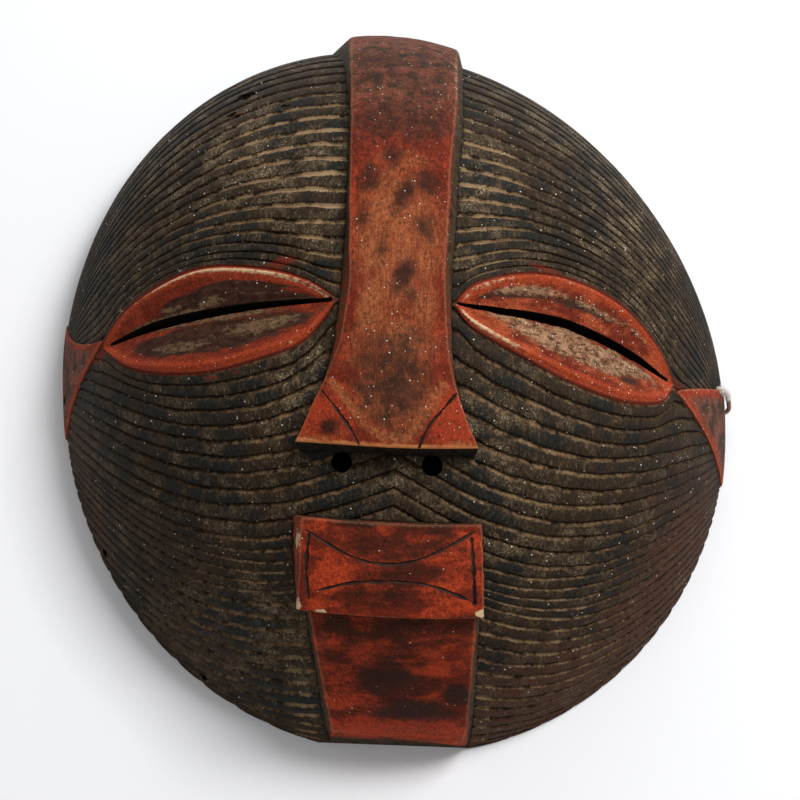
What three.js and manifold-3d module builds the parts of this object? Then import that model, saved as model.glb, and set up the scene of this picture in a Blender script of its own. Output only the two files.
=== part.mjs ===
// A round striated face mask, carved from one block of wood and hollowed at the back.
// It lies face up on its rim: +Z runs from the rim to the face, +Y to the forehead, +X to the right
// of the face as seen from the front. Millimetres, origin at the middle of the mask on the table.
import * as THREE from 'three';
import { mergeVertices } from 'three/addons/utils/BufferGeometryUtils.js';
import Module from 'manifold-3d';

const wasm = await Module();
wasm.setup();

// The bowl: a leaning oval seen from the front, domed toward the viewer
const HALF_WIDTH = 171.9;
const HALF_LENGTH = 196.7;
const LEAN = 14.6; // degrees that the long axis leans to the left at the top
const SWELL = 0.007; // share by which the outline swells three times round
const SWELL_BEARING = -3; // degrees
const OVAL_CENTRE = [-1.15, -0.45];
const DEPTH = 140; // from the rim plane to the middle of the dome
const RIM_SLOPE = 80; // degrees between the rim plane and the wall where it meets the rim
const WALL = 13;
const ROOT = 6; // how deep every raised form is sunk in the bowl

// The lines cut in the face
const UPPER_LINES = 24;
const LOWER_LINES = 31;
const GROOVE_DEPTH = 1.6;
const GROOVE_SHARE = 0.36; // part of each line's pitch that is groove, the rest is flat ridge
const DEPTH_TO_PITCH = 0.2; // no groove is deeper than this share of its pitch
const COLUMNS = [0, 0.16, 0.27, 0.4, 0.54, 0.66, 0.74, 0.86, 1];
const UPPER_CROWDING = 0.45; // how much closer the forehead's lines start beside the eye than at the crown
const LOWER_CROWDING = -0.08;
const RIM_CROWDING = 0.85; // how much closer the cheeks' lines meet the rim at the temple than at the chin
const SAG_POWER = 1.3; // above 1, so that the lines hang most above the middle of the cheek
const LEVEL_START = { share: 0.14, from: 0.4, to: 0.55 }; // lines beside the mouth start level
const BROW_FADE = 0.45; // share of the forehead over which the lines lose the eye's corners
const CHEEK_FADE = 0.2;
const CHEEK_SHARE = 0.37; // share of the lower lines that end under the temple's triangle
const CHIN_BEARING = -82; // degrees, where the last line meets the rim beside the chin

// The eyes: [x, y] places seen from the front, from the nose to the temple. Divide is where the forehead's
// lines part from the cheek's at the rim, in degrees, and crowding above 1 brings their ends closer to it.
// Sag is how far the middle lines of the cheek hang, in shares of the bowl's reach. A triangle's sweep above
// 1 hollows that edge, and below 1 it swells
const BRIDGE = [2.5, -8];
const EYE_START = 0.16; // share of a line's run where the eye begins
const EYE_END = 0.74;
const LID_CREST = 1.6; // height of the ridge round the eye above the face
const SLIT_SINK = 5; // how far the lids fall to the slit
const LID_ROWS = [[0.1, LID_CREST], [0.45, -0.3 * SLIT_SINK], [1, -SLIT_SINK]]; // [share of the lid, height]
const LIDS_MEET = 0.96; // share of the way to the slit's middle where a lid's last row lies
const LID_FULLNESS = 0.6; // below 1, so that the lids rise steeply from the eye's corners
const LEFT = {
  side: -1,
  inner: [-27, -8],
  outer: [-146, -2],
  upperLid: [[-27, -8], [-41, 3], [-62, 12], [-96, 19.5], [-126, 14], [-140, 6], [-146, -2]],
  lowerLid: [[-27, -8], [-41, -25], [-58, -31], [-86, -34], [-111, -29], [-132, -18], [-146, -2]],
  slitTop: [[-29, -6.2], [-50, -4], [-92, -0.9], [-121, 0.6], [-143, -1.2]],
  slitFoot: [[-29, -7.8], [-50, -7.1], [-92, -5.8], [-121, -4.3], [-143, -2.8]],
  divide: 5,
  crowding: 1.7,
  triangle: { apex: 0.7, middle: 1, top: 12.8, foot: -9.6, topSweep: 1.5, footSweep: 0.8 },
  sag: 0.075,
};
const RIGHT = {
  side: 1,
  inner: [30, -10],
  outer: [140, -25],
  upperLid: [[30, -10], [40, 1], [63, 10], [86, 12], [112, 6], [131, -9], [140, -25]],
  lowerLid: [[30, -10], [39, -20], [62, -31], [87, -40], [113, -42.5], [133, -36], [140, -25]],
  slitTop: [[31, -8.4], [52, -7.6], [87, -7.4], [120, -14.6], [138, -23]],
  slitFoot: [[31, -9.4], [52, -11.2], [87, -12.9], [120, -19.6], [138, -24.4]],
  divide: -6.5,
  crowding: 1.5,
  triangle: { apex: 0.672, middle: -11, top: 0.5, foot: -16.8, topSweep: 0.8, footSweep: 0.9 },
  sag: 0.11,
};
const TRIANGLE_PROUD = 1.1;

// The raised bands. Each row: along (0 mid-dome, 1 upper rim, -1 lower rim), left and right edges of
// the top face in x, how proud it stands, and how far each flank spreads at its foot
const NOSE = [
  [1.12, -22, 33, 9, 13, 5],
  [0.9, -22, 33, 9, 13, 5],
  [0.65, -21.5, 31.5, 8, 4, 5],
  [0.43, -20.3, 30.5, 8, 1.5, 5],
  [0.23, -20, 27, 8, 1.7, 5],
  [0.11, -20, 25.2, 8, 2.7, 5],
  [-0.01, -19.7, 24.2, 8, 4.8, 4],
  [-0.11, -23, 25.2, 8.5, 4.2, 3],
  [-0.17, -28.3, 27, 9.5, 2.7, 2.5],
  [-0.21, -33.3, 30, 10.5, 2, 2],
  [-0.25, -38, 33.5, 11.5, 1.2, 1],
  [-0.294, -43.2, 38.8, 12, 0.5, 0.5],
];
const MOUTH = [
  [-0.426, -42, 41.5, 5, 5, 1.5],
  [-0.51, -42, 41.5, 9.5, 5, 1.5],
  [-0.588, -42, 41, 13, 4, 1.5],
];
const CHIN = [
  [-0.56, -38.5, 38.5, 10, 5, 4],
  [-0.7, -33.5, 37, 9, 5, 4],
  [-0.8, -30.5, 36, 7.5, 5, 4],
  [-0.9, -28.5, 35, 5, 5, 4],
  [-1, -27, 34.5, 1.8, 2, 1.5],
  [-1.12, -26.5, 34, 1.2, 1, 1],
];
const BAND_STEP = 0.13; // the longest stretch of a band between two of its sections
const CROWNING = 0.8; // rise of a band's middle over its edges

// Cuts in the wood
const NOSTRIL = { across: 10, places: [[-24, -85], [19, -87]], rise: 24 };
const RIM_HOLE = { across: 5, places: [[-170, -9], [-147, -92], [-95, -157]] };
const CORD_HOLE = [168.3, -6];
const BORE = { length: 78, sides: 8 };
const LINE_CUT = { width: 1.6, depth: 1.3, over: 1.5 };
// The lines scratched in the nose and the mouth, each place [x, along]
const NOSE_LINES = [
  [[-32, -0.204], [-26, -0.229], [-20.5, -0.255], [-15.5, -0.284], [-13.5, -0.3]],
  [[29.5, -0.2], [22.5, -0.23], [17, -0.253], [13, -0.281], [11.5, -0.3]],
];
const MOUTH_LINES = [
  [[-38, -0.45], [-38.5, -0.51], [-37, -0.567]],
  [[36.5, -0.445], [37, -0.5], [37, -0.565]],
  [[-40.5, -0.444], [-20, -0.482], [-6, -0.494], [8, -0.489], [24, -0.465], [39, -0.434]],
  [[-35, -0.551], [-19, -0.531], [-4, -0.524], [12, -0.525], [24, -0.537], [35, -0.555]],
];
// The chin is cut off straight, from one place seen from the front to the other
const CHIN_CUT = [[-36, -188.9], [44, -192]];
// The rim rises a little at the temples, where the wearer's ears would be
const TEMPLE_ARCH = { halfLength: 52, rise: 6, middle: -4 };

// The tie cord: out of the hole in the right temple, round the rim and knotted inside
const CORD = { across: 2.6, sides: 8, steps: 20 };
const KNOT = { radius: 3.6, around: 10, rings: 7 };

// The middle of the finished mask seen from the front, which is put over the origin
const MIDDLE = [-0.11, 6.14];

const radians = THREE.MathUtils.degToRad;
const slope = radians(RIM_SLOPE);
const mix = THREE.MathUtils.lerp;
const smooth = THREE.MathUtils.smoothstep;

// How far the oval reaches from its centre at a bearing, measured from +X toward +Y
function reach(bearing) {
  const turned = bearing - radians(LEAN);
  const oval = 1 / Math.hypot(Math.cos(turned) / HALF_WIDTH, Math.sin(turned) / HALF_LENGTH);
  return oval * (1 + SWELL * Math.cos(3 * (bearing - radians(SWELL_BEARING))));
}

// The bowl unrolled: [p, q] is 0 at the middle of the dome and one unit long at the rim
function bowl(p, q, inset = 0) {
  const run = Math.hypot(p, q);
  const bearing = Math.atan2(q, p);
  const spread = (Math.sin(run * slope) / Math.sin(slope)) * (reach(bearing) - inset);
  const rise = (Math.cos(run * slope) - Math.cos(slope)) / (1 - Math.cos(slope));
  return new THREE.Vector3(
    OVAL_CENTRE[0] + spread * Math.cos(bearing),
    OVAL_CENTRE[1] + spread * Math.sin(bearing),
    rise * (DEPTH - inset),
  );
}

function outward(p, q) {
  const step = 1e-4;
  const across = bowl(p + step, q).sub(bowl(p - step, q));
  const along = bowl(p, q + step).sub(bowl(p, q - step));
  return across.cross(along).normalize();
}

function onFace(p, q, proud) {
  return bowl(p, q).addScaledVector(outward(p, q), proud);
}

// From a place seen from the front to the unrolled bowl
function unroll([x, y]) {
  const dx = x - OVAL_CENTRE[0];
  const dy = y - OVAL_CENTRE[1];
  const bearing = Math.atan2(dy, dx);
  const share = (Math.hypot(dx, dy) / reach(bearing)) * Math.sin(slope);
  const run = Math.asin(Math.min(share, 1)) / slope;
  return [run * Math.cos(bearing), run * Math.sin(bearing)];
}

// The p that puts the bowl's surface at a wanted x, on the row q of the unrolled bowl
function acrossAt(x, q) {
  const unit = HALF_WIDTH * slope;
  const passes = 12;
  let p = x / unit;
  for (let pass = 0; pass < passes; pass += 1) p += (x - bowl(p, q).x) / unit;
  return p;
}

function alongCurve(points, share) {
  const curve = new THREE.SplineCurve(points.map(([a, b]) => new THREE.Vector2(a, b)));
  const at = curve.getPoint(share);
  return [at.x, at.y];
}

function blend(a, b, share) {
  return [mix(a[0], b[0], share), mix(a[1], b[1], share)];
}

function rimPlace(eye, degrees) {
  const bearing = radians(degrees);
  return [eye.side * Math.cos(bearing), Math.sin(bearing)];
}

// One lid's outline, carried on to the middle of the nose and to the rim
function lidLine(eye, lid, u) {
  const bridge = unroll(BRIDGE);
  if (u < EYE_START) return blend(bridge, unroll(eye.inner), u / EYE_START);
  if (u > EYE_END) {
    const rest = (u - EYE_END) / (1 - EYE_END);
    return blend(unroll(eye.outer), rimPlace(eye, eye.divide), rest);
  }
  return alongCurve(eye[lid].map(unroll), (u - EYE_START) / (EYE_END - EYE_START));
}

// The same line without the eye's sharp corners
function softLidLine(eye, lid, u) {
  const middle = 0.45;
  const bridge = unroll(BRIDGE);
  const end = rimPlace(eye, eye.divide);
  const top = lidLine(eye, lid, middle);
  const chord = blend(bridge, end, middle);
  const at = blend(bridge, end, u);
  const share = Math.sin(Math.PI * u);
  return [at[0] + (top[0] - chord[0]) * share, at[1] + (top[1] - chord[1]) * share];
}

function endBearing(eye, upper, v) {
  const { top, foot } = eye.triangle;
  if (upper) return mix(eye.divide, top, v ** eye.crowding);
  if (v < CHEEK_SHARE) return mix(eye.divide, foot, (v / CHEEK_SHARE) ** eye.crowding);
  const w = (v - CHEEK_SHARE) / (1 - CHEEK_SHARE);
  return mix(foot, CHIN_BEARING, mix(w, w * w, RIM_CROWDING));
}

// How far a line of the cheeks hangs under the straight one, 1 at most
function hang(v, u) {
  const most = 1 / (1 + SAG_POWER);
  const line = (v * (1 - v) ** SAG_POWER) / (most * (1 - most) ** SAG_POWER);
  const level = LEVEL_START.share * smooth(v, LEVEL_START.from, LEVEL_START.to);
  return line * Math.sin(Math.PI * Math.max(0, (u - level) / (1 - level)));
}

// A line of the face, v from 0 at the lid to 1 at the rim, u from 0 on the nose to 1 at the rim
function faceLine(eye, upper, v, u) {
  const lid = upper ? 'upperLid' : 'lowerLid';
  const fade = smooth(v, 0, upper ? BROW_FADE : CHEEK_FADE);
  const near = blend(lidLine(eye, lid, u), softLidLine(eye, lid, u), fade);
  const pole = [0, upper ? 1 : -1];
  const last = upper ? eye.triangle.top : CHIN_BEARING;
  const arc = rimPlace(eye, mix(90 * pole[1], last, u));
  const bridge = unroll(BRIDGE);
  const reached = upper ? mix(v, v * v, UPPER_CROWDING) : v;
  const start = blend(bridge, pole, upper ? reached : mix(v, v * v, LOWER_CROWDING));
  const end = rimPlace(eye, endBearing(eye, upper, v));
  const nearChord = blend(bridge, rimPlace(eye, eye.divide), u);
  const farChord = blend(pole, rimPlace(eye, last), u);
  const ruled = blend(start, end, u);
  const sag = upper ? 0 : eye.sag * hang(v, u);
  return [0, 1].map((axis) => ruled[axis]
    + (1 - reached) * (near[axis] - nearChord[axis])
    + reached * (arc[axis] - farChord[axis])
    - axis * sag);
}

// The rows of the face's mesh from the upper rim to the lower: a groove's two edges and its bottom,
// once for each line, and the rows of the eye between
function faceRows() {
  const rows = [];
  const zone = (upper, lines) => {
    const found = [];
    for (let line = 0; line < lines; line += 1) {
      const marks = [[0, 0], [GROOVE_SHARE / 2, 1], [GROOVE_SHARE, 0]];
      for (const [share, cut] of marks) found.push({ upper, v: (line + share) / lines, cut, lines });
    }
    found.push({ upper, v: 1, cut: 0, lines });
    return found;
  };
  rows.push(...zone(true, UPPER_LINES).reverse());
  for (const [share, height] of LID_ROWS) rows.push({ eye: 'upperLid', share, height });
  for (const [share, height] of [...LID_ROWS].reverse()) rows.push({ eye: 'lowerLid', share, height });
  rows.push(...zone(false, LOWER_LINES));
  return rows;
}

// The middle line of the slit, from one corner of the eye to the other
function slitLine(eye, share) {
  const middle = eye.slitTop.map((top, k) => blend(unroll(top), unroll(eye.slitFoot[k]), 0.5));
  return alongCurve([unroll(eye.inner), ...middle.slice(1, -1), unroll(eye.outer)], share);
}

function rowPlace(eye, row, u) {
  if (!row.eye) {
    const [p, q] = faceLine(eye, row.upper, row.v, u);
    if (!row.cut) return { p, q, proud: 0 };
    const above = faceLine(eye, row.upper, Math.max(0, row.v - 0.5 / row.lines), u);
    const below = faceLine(eye, row.upper, Math.min(1, row.v + 0.5 / row.lines), u);
    const pitch = bowl(...above).distanceTo(bowl(...below));
    return { p, q, proud: -Math.min(GROOVE_DEPTH, DEPTH_TO_PITCH * pitch) };
  }
  const s = Math.min(1, Math.max(0, (u - EYE_START) / (EYE_END - EYE_START)));
  const lid = lidLine(eye, row.eye, u);
  const slit = s > 0 && s < 1 ? slitLine(eye, s) : lid;
  const [p, q] = blend(lid, slit, row.share * LIDS_MEET);
  return { p, q, proud: row.height * Math.sin(Math.PI * s) ** LID_FULLNESS };
}

// A closed solid from points and triangles, its shared points merged
function solid(points, triangles) {
  const geometry = new THREE.BufferGeometry();
  const flat = triangles.flatMap((triangle) => triangle.flatMap((i) => points[i].toArray()));
  geometry.setAttribute('position', new THREE.Float32BufferAttribute(flat, 3));
  return solidOf(geometry);
}

function solidOf(geometry) {
  geometry.deleteAttribute('normal');
  geometry.deleteAttribute('uv');
  const merged = mergeVertices(geometry, 1e-3);
  const index = Array.from(merged.index.array);
  const triangles = [];
  for (let i = 0; i < index.length; i += 3) {
    const [a, b, c] = index.slice(i, i + 3);
    if (a !== b && b !== c && c !== a) triangles.push(a, b, c);
  }
  return new wasm.Manifold(new wasm.Mesh({
    numProp: 3,
    vertProperties: Float32Array.from(merged.attributes.position.array),
    triVerts: Uint32Array.from(triangles),
  }));
}

// The striated face: two half faces that meet on the middle line, closed flat across the rim
function carvedFace() {
  const rows = faceRows();
  const points = [];
  const triangles = [];
  const rim = [];
  for (const eye of [LEFT, RIGHT]) {
    const first = points.length;
    rows.forEach((row, r) => COLUMNS.forEach((u, c) => {
      const { p, q, proud } = rowPlace(eye, row, u);
      const at = onFace(p, q, proud);
      if (r === 0 || r === rows.length - 1 || c === COLUMNS.length - 1) at.z = 0;
      points.push(at);
    }));
    const place = (r, c) => first + r * COLUMNS.length + c;
    const turn = (a, b, c) => (eye.side > 0 ? [a, b, c] : [a, c, b]);
    for (let r = 0; r < rows.length - 1; r += 1) {
      for (let c = 0; c < COLUMNS.length - 1; c += 1) {
        triangles.push(turn(place(r, c), place(r + 1, c), place(r + 1, c + 1)));
        triangles.push(turn(place(r, c), place(r + 1, c + 1), place(r, c + 1)));
      }
    }
    const lastColumn = COLUMNS.length - 1;
    const edge = COLUMNS.map((u, c) => place(0, c));
    for (let r = 1; r < rows.length; r += 1) edge.push(place(r, lastColumn));
    for (let c = lastColumn - 1; c >= 0; c -= 1) edge.push(place(rows.length - 1, c));
    rim.push({ edge, turn });
  }
  points.push(new THREE.Vector3(...OVAL_CENTRE, 0));
  const middle = points.length - 1;
  for (const { edge, turn } of rim) {
    for (let i = 0; i < edge.length - 1; i += 1) {
      triangles.push(turn(middle, edge[i], edge[i + 1]));
    }
  }
  return solid(points, triangles);
}

// A closed solid through a row of like sections, each a ring of points
function loft(sections) {
  const points = sections.flat();
  const size = sections[0].length;
  const triangles = [];
  for (let s = 0; s < sections.length - 1; s += 1) {
    for (let i = 0; i < size; i += 1) {
      const a = s * size + i;
      const b = s * size + ((i + 1) % size);
      triangles.push([a, b, b + size], [a, b + size, a + size]);
    }
  }
  const last = (sections.length - 1) * size;
  for (let i = 1; i < size - 1; i += 1) {
    triangles.push([0, i + 1, i], [last, last + i, last + i + 1]);
  }
  const body = solid(points, triangles);
  return body.volume() > 0 ? body : solid(points, triangles.map(([a, b, c]) => [a, c, b]));
}

function bandRow(rows, along) {
  const last = rows.length - 1;
  let i = rows.findIndex((row) => row[0] <= along);
  if (i < 1) i = i < 0 ? last : 1;
  const share = (along - rows[i - 1][0]) / (rows[i][0] - rows[i - 1][0]);
  return rows[i].map((value, k) => mix(rows[i - 1][k], value, share));
}

// The rows of a band with enough more between them to follow the bowl's curve
function bandStations(rows) {
  const stations = [rows[0]];
  for (let k = 1; k < rows.length; k += 1) {
    const steps = Math.ceil((rows[k - 1][0] - rows[k][0]) / BAND_STEP - 1e-6);
    for (let i = 1; i <= steps; i += 1) {
      stations.push(bandRow(rows, mix(rows[k - 1][0], rows[k][0], i / steps)));
    }
  }
  return stations;
}

// A place on a band's top face, which is flat from each edge to the slightly higher middle
function bandSurface(rows, x, along) {
  const [, left, right, proud] = bandRow(rows, along);
  const middle = (left + right) / 2;
  const crest = proud + CROWNING;
  const [from, to, low, high] = x < middle ? [left, middle, proud, crest] : [middle, right, crest, proud];
  const edge = (at, height) => onFace(acrossAt(at, along), along, height);
  return edge(from, low).lerp(edge(to, high), (x - from) / (to - from));
}

// A raised band. With a square end, its last face drops straight down to the bowl, seen from the front
function band(rows, squareEnd) {
  const stations = bandStations(rows);
  const sections = stations.map(([along, left, right, proud, footLeft, footRight], k) => {
    const edge = (x, height) => onFace(acrossAt(x, along), along, height);
    const spread = (proud + ROOT) / proud;
    const ring = [
      edge(left - footLeft * spread, -ROOT),
      edge(right + footRight * spread, -ROOT),
      edge(right, proud),
      edge((left + right) / 2, proud + CROWNING),
      edge(left, proud),
    ];
    if (squareEnd && k === stations.length - 1) {
      for (const [root, top] of [[0, 4], [1, 2]]) {
        const y = ring[top].y;
        ring[root].set(ring[root].x, y, bowl(...unroll([ring[root].x, y])).z - ROOT);
      }
    }
    return ring;
  });
  return loft(sections);
}

// The flat red triangle that runs from the eye's outer corner to the rim
function templeTriangle(eye) {
  const { apex, middle, top, foot, topSweep, footSweep } = eye.triangle;
  const stations = [0.02, 0.2, 0.45, 0.72, 1, 1.2]; // 1 at the rim
  const sections = stations.map((share) => {
    const run = mix(apex, 1, share);
    const low = mix(middle, foot, share ** footSweep);
    const high = mix(middle, top, share ** topSweep);
    const place = (degrees, proud) => {
      const [p, q] = rimPlace(eye, degrees);
      return onFace(p * run, q * run, proud);
    };
    return [place(low, -ROOT), place(low, TRIANGLE_PROUD), place(high, TRIANGLE_PROUD), place(high, -ROOT)];
  });
  return loft(sections);
}

// The slot between the lids, cut right through the wall
function eyeSlit(eye) {
  const stations = 9;
  const sections = [];
  for (let k = 0; k <= stations; k += 1) {
    const above = unroll(alongCurve(eye.slitTop, k / stations));
    const below = unroll(alongCurve(eye.slitFoot, k / stations));
    const through = 2 * WALL;
    sections.push([
      onFace(...below, -through), onFace(...below, WALL), onFace(...above, WALL), onFace(...above, -through),
    ]);
  }
  return loft(sections);
}

// The hollow that takes the face
function hollow() {
  const rings = 7;
  const around = 28;
  const runEnd = 1.08;
  const points = [bowl(0, 0, WALL)];
  const triangles = [];
  for (let r = 1; r <= rings; r += 1) {
    for (let k = 0; k < around; k += 1) {
      const bearing = (2 * Math.PI * k) / around;
      const run = (runEnd * r) / rings;
      points.push(bowl(run * Math.cos(bearing), run * Math.sin(bearing), WALL));
    }
  }
  const place = (r, k) => 1 + (r - 1) * around + (k % around);
  points.push(new THREE.Vector3(...OVAL_CENTRE, bowl(runEnd, 0, WALL).z));
  const foot = points.length - 1;
  for (let k = 0; k < around; k += 1) {
    triangles.push([0, place(1, k), place(1, k + 1)]);
    for (let r = 1; r < rings; r += 1) {
      triangles.push([place(r, k), place(r + 1, k), place(r + 1, k + 1)]);
      triangles.push([place(r, k), place(r + 1, k + 1), place(r, k + 1)]);
    }
    triangles.push([foot, place(rings, k + 1), place(rings, k)]);
  }
  return solid(points, triangles);
}

// A round hole bored through the wall at a place, along a direction
function bore(place, direction, across) {
  const geometry = new THREE.CylinderGeometry(across / 2, across / 2, BORE.length, BORE.sides);
  const turn = new THREE.Quaternion().setFromUnitVectors(new THREE.Vector3(0, 1, 0), direction);
  geometry.applyQuaternion(turn);
  geometry.translate(place.x, place.y, place.z);
  return solidOf(geometry);
}

// A V-shaped line scratched in the top face of a band
function scratch(rows, points) {
  const steps = points.length + 1;
  const { width, depth, over } = LINE_CUT;
  const places = [];
  for (let k = 0; k <= steps; k += 1) {
    const [x, along] = alongCurve(points, k / steps);
    places.push({ p: acrossAt(x, along), q: along, top: bandSurface(rows, x, along) });
  }
  const sections = places.map(({ p, q, top }, k) => {
    const ahead = places[Math.min(k + 1, steps)].top;
    const behind = places[Math.max(k - 1, 0)].top;
    const up = outward(p, q);
    const aside = ahead.clone().sub(behind).cross(up).normalize();
    const corner = (side, height) => top.clone().addScaledVector(aside, side).addScaledVector(up, height);
    const wide = (width / 2) * (1 + over / depth);
    return [corner(-wide, over), corner(wide, over), corner(0, -depth)];
  });
  return loft(sections);
}

// The low arch that lifts the rim off the table at both temples
function templeArch() {
  const { halfLength, rise, middle } = TEMPLE_ARCH;
  const steps = 10;
  const low = -20;
  const profile = new THREE.Shape();
  profile.moveTo(-halfLength, low);
  for (let k = 0; k <= steps; k += 1) {
    const share = k / steps;
    profile.lineTo(mix(-halfLength, halfLength, share), rise * Math.sin(Math.PI * share) ** 2);
  }
  profile.lineTo(halfLength, low);
  const length = 3 * HALF_WIDTH;
  const geometry = new THREE.ExtrudeGeometry(profile, { depth: length, bevelEnabled: false });
  geometry.translate(0, 0, -length / 2);
  geometry.applyMatrix4(new THREE.Matrix4().makeBasis(
    new THREE.Vector3(0, 1, 0),
    new THREE.Vector3(0, 0, 1),
    new THREE.Vector3(1, 0, 0),
  ));
  geometry.translate(0, middle, 0);
  return solidOf(geometry);
}

function belowTable() {
  const size = 4 * HALF_LENGTH;
  const geometry = new THREE.BoxGeometry(size, size, size);
  geometry.translate(0, 0, -size / 2);
  return solidOf(geometry);
}

// All that lies beyond the chin's straight cut
function beyondChin() {
  const [[startX, startY], [endX, endY]] = CHIN_CUT;
  const size = 2 * HALF_LENGTH;
  const geometry = new THREE.BoxGeometry(size, size, size);
  geometry.translate(0, -size / 2, 0);
  geometry.rotateZ(Math.atan2(endY - startY, endX - startX));
  geometry.translate((startX + endX) / 2, (startY + endY) / 2, 0);
  return solidOf(geometry);
}

function carveMask() {
  let wood = carvedFace();
  const raised = [band(NOSE, true), band(CHIN, false), band(MOUTH, false)];
  for (const eye of [LEFT, RIGHT]) raised.push(templeTriangle(eye));
  for (const form of raised) wood = wood.add(form);
  const cuts = [belowTable(), beyondChin(), hollow(), templeArch(), eyeSlit(LEFT), eyeSlit(RIGHT)];
  for (const [x, y] of NOSTRIL.places) {
    const lift = radians(NOSTRIL.rise);
    const direction = new THREE.Vector3(0, Math.sin(lift), -Math.cos(lift));
    cuts.push(bore(bowl(...unroll([x, y])), direction, NOSTRIL.across));
  }
  for (const place of [...RIM_HOLE.places, CORD_HOLE]) {
    const [p, q] = unroll(place);
    cuts.push(bore(bowl(p, q), outward(p, q), RIM_HOLE.across));
  }
  for (const line of NOSE_LINES) cuts.push(scratch(NOSE, line));
  for (const line of MOUTH_LINES) cuts.push(scratch(MOUTH, line));
  for (const cut of cuts) wood = wood.subtract(cut);
  return wood;
}

function geometryOf(shape) {
  const mesh = shape.getMesh();
  const geometry = new THREE.BufferGeometry();
  geometry.setAttribute('position', new THREE.Float32BufferAttribute(mesh.vertProperties, 3));
  geometry.setIndex(new THREE.Uint32BufferAttribute(mesh.triVerts, 1));
  geometry.computeVertexNormals();
  return geometry;
}

// The cord's route, [out of the hole, up, toward the chin]: out of the wall, down its outside, round
// under the arched rim and up the inside to the knot at the hole's inner mouth
const hole = bowl(...unroll(CORD_HOLE));
const holeAxis = outward(...unroll(CORD_HOLE));
const CORD_ROUTE = [
  [-3, -1.5, 0], [-0.5, -0.7, 0], [1.9, -0.6, 0.3], [4, -1.8, 1], [5.5, -4.1, 2.2], [6.2, -7, 3.6],
  [6.7, -9.8, 4.9], [7, -12.4, 6], [6.2, -14.9, 6.9], [4.2, -16.6, 7.3], [1.2, -16.9, 7.3], [-3, -16.9, 7],
  [-7, -17.2, 6.3], [-10.4, -16.9, 5.3], [-13.2, -15.2, 4], [-15, -12.2, 2.5], [-16.1, -9.8, 1.2],
];
const KNOT_PLACE = [-17, -5.8, 0];

function cordPoint([out, up, chinward]) {
  const level = new THREE.Vector3(holeAxis.x, holeAxis.y, 0).normalize();
  return hole.clone().addScaledVector(level, out).add(new THREE.Vector3(0, -chinward, up));
}

function cordTube() {
  const points = CORD_ROUTE.map(cordPoint);
  const circle = new THREE.Shape();
  circle.absarc(0, 0, CORD.across / 2, 0, 2 * Math.PI);
  const geometry = new THREE.ExtrudeGeometry(circle, {
    curveSegments: CORD.sides / 2,
    steps: CORD.steps,
    extrudePath: new THREE.CatmullRomCurve3(points),
  });
  return geometryOf(solidOf(geometry));
}

function knotBall() {
  const place = cordPoint(KNOT_PLACE);
  const geometry = new THREE.SphereGeometry(KNOT.radius, KNOT.around, KNOT.rings);
  geometry.translate(place.x, place.y, place.z);
  return geometryOf(solidOf(geometry));
}

const blackenedWood = new THREE.MeshStandardMaterial({ color: 0x35322d, roughness: 0.75, metalness: 0 });
const twistedCotton = new THREE.MeshStandardMaterial({ color: 0xd8cdb4, roughness: 0.95, metalness: 0 });

const mask = new THREE.Mesh(geometryOf(carveMask()), blackenedWood);
mask.name = 'mask';
const tieCord = new THREE.Mesh(cordTube(), twistedCotton);
tieCord.name = 'tie_cord';
const cordKnot = new THREE.Mesh(knotBall(), twistedCotton);
cordKnot.name = 'cord_knot';

const part = new THREE.Group();
part.add(mask, tieCord, cordKnot);
part.position.set(-MIDDLE[0], -MIDDLE[1], 0);

export default part;
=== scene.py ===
import math

import bmesh
import bpy
import numpy as np
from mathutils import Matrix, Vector
from mathutils.bvhtree import BVHTree
from mathutils.interpolate import poly_3d_calc


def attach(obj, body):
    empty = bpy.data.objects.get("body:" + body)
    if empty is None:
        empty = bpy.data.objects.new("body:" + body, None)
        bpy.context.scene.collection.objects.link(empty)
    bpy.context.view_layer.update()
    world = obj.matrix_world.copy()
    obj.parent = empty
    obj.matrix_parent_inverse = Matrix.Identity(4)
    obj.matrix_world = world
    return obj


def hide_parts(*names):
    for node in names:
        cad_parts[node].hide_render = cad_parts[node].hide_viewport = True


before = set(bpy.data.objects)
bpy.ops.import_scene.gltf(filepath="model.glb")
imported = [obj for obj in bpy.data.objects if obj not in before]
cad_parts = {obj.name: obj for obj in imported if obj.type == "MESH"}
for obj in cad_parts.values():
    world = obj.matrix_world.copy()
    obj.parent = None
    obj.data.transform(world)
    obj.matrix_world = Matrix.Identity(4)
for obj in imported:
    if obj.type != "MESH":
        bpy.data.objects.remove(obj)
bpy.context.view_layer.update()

# The studio. The mask lies face up on a wide white table. The camera looks down on it from the chin's
# side. The key lamp stands high at the right, a low lamp beyond the forehead, and a weak one fills in.
CAMERA_PLACE = (0.00286, -0.56689, 1.3782)
CAMERA_TILT = 22  # degrees from straight down
CAMERA_LENS = 127.35
CAMERA_SHIFT = 0.0025
SENSOR = 36
AIM = Vector((0, 0, 0.05))
LAMPS = [  # name, place, width, power
    ("key_lamp", (0.8, 0.52, 1.6), 0.7, 31),
    ("crown_lamp", (-0.1, 1.7, 0.95), 1.2, 6),
    ("fill_lamp", (-0.9, -0.9, 1.6), 1.6, 2),
]
ROOM_LIGHT = 0.36
TABLE_WHITE = (0.86, 0.865, 0.885, 1)
TABLE_SIZE = 8
SHADE_CLOTH_BLACK = (0.01, 0.009, 0.008, 1)
CLOTH_RADIUS = 0.14

camera = bpy.data.objects.new("camera", bpy.data.cameras.new("camera"))
camera.location = CAMERA_PLACE
camera.rotation_euler = (math.radians(CAMERA_TILT), 0, 0)
camera.data.lens = CAMERA_LENS
camera.data.sensor_width = SENSOR
camera.data.shift_x = CAMERA_SHIFT
bpy.context.collection.objects.link(camera)
bpy.context.scene.camera = camera

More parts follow.
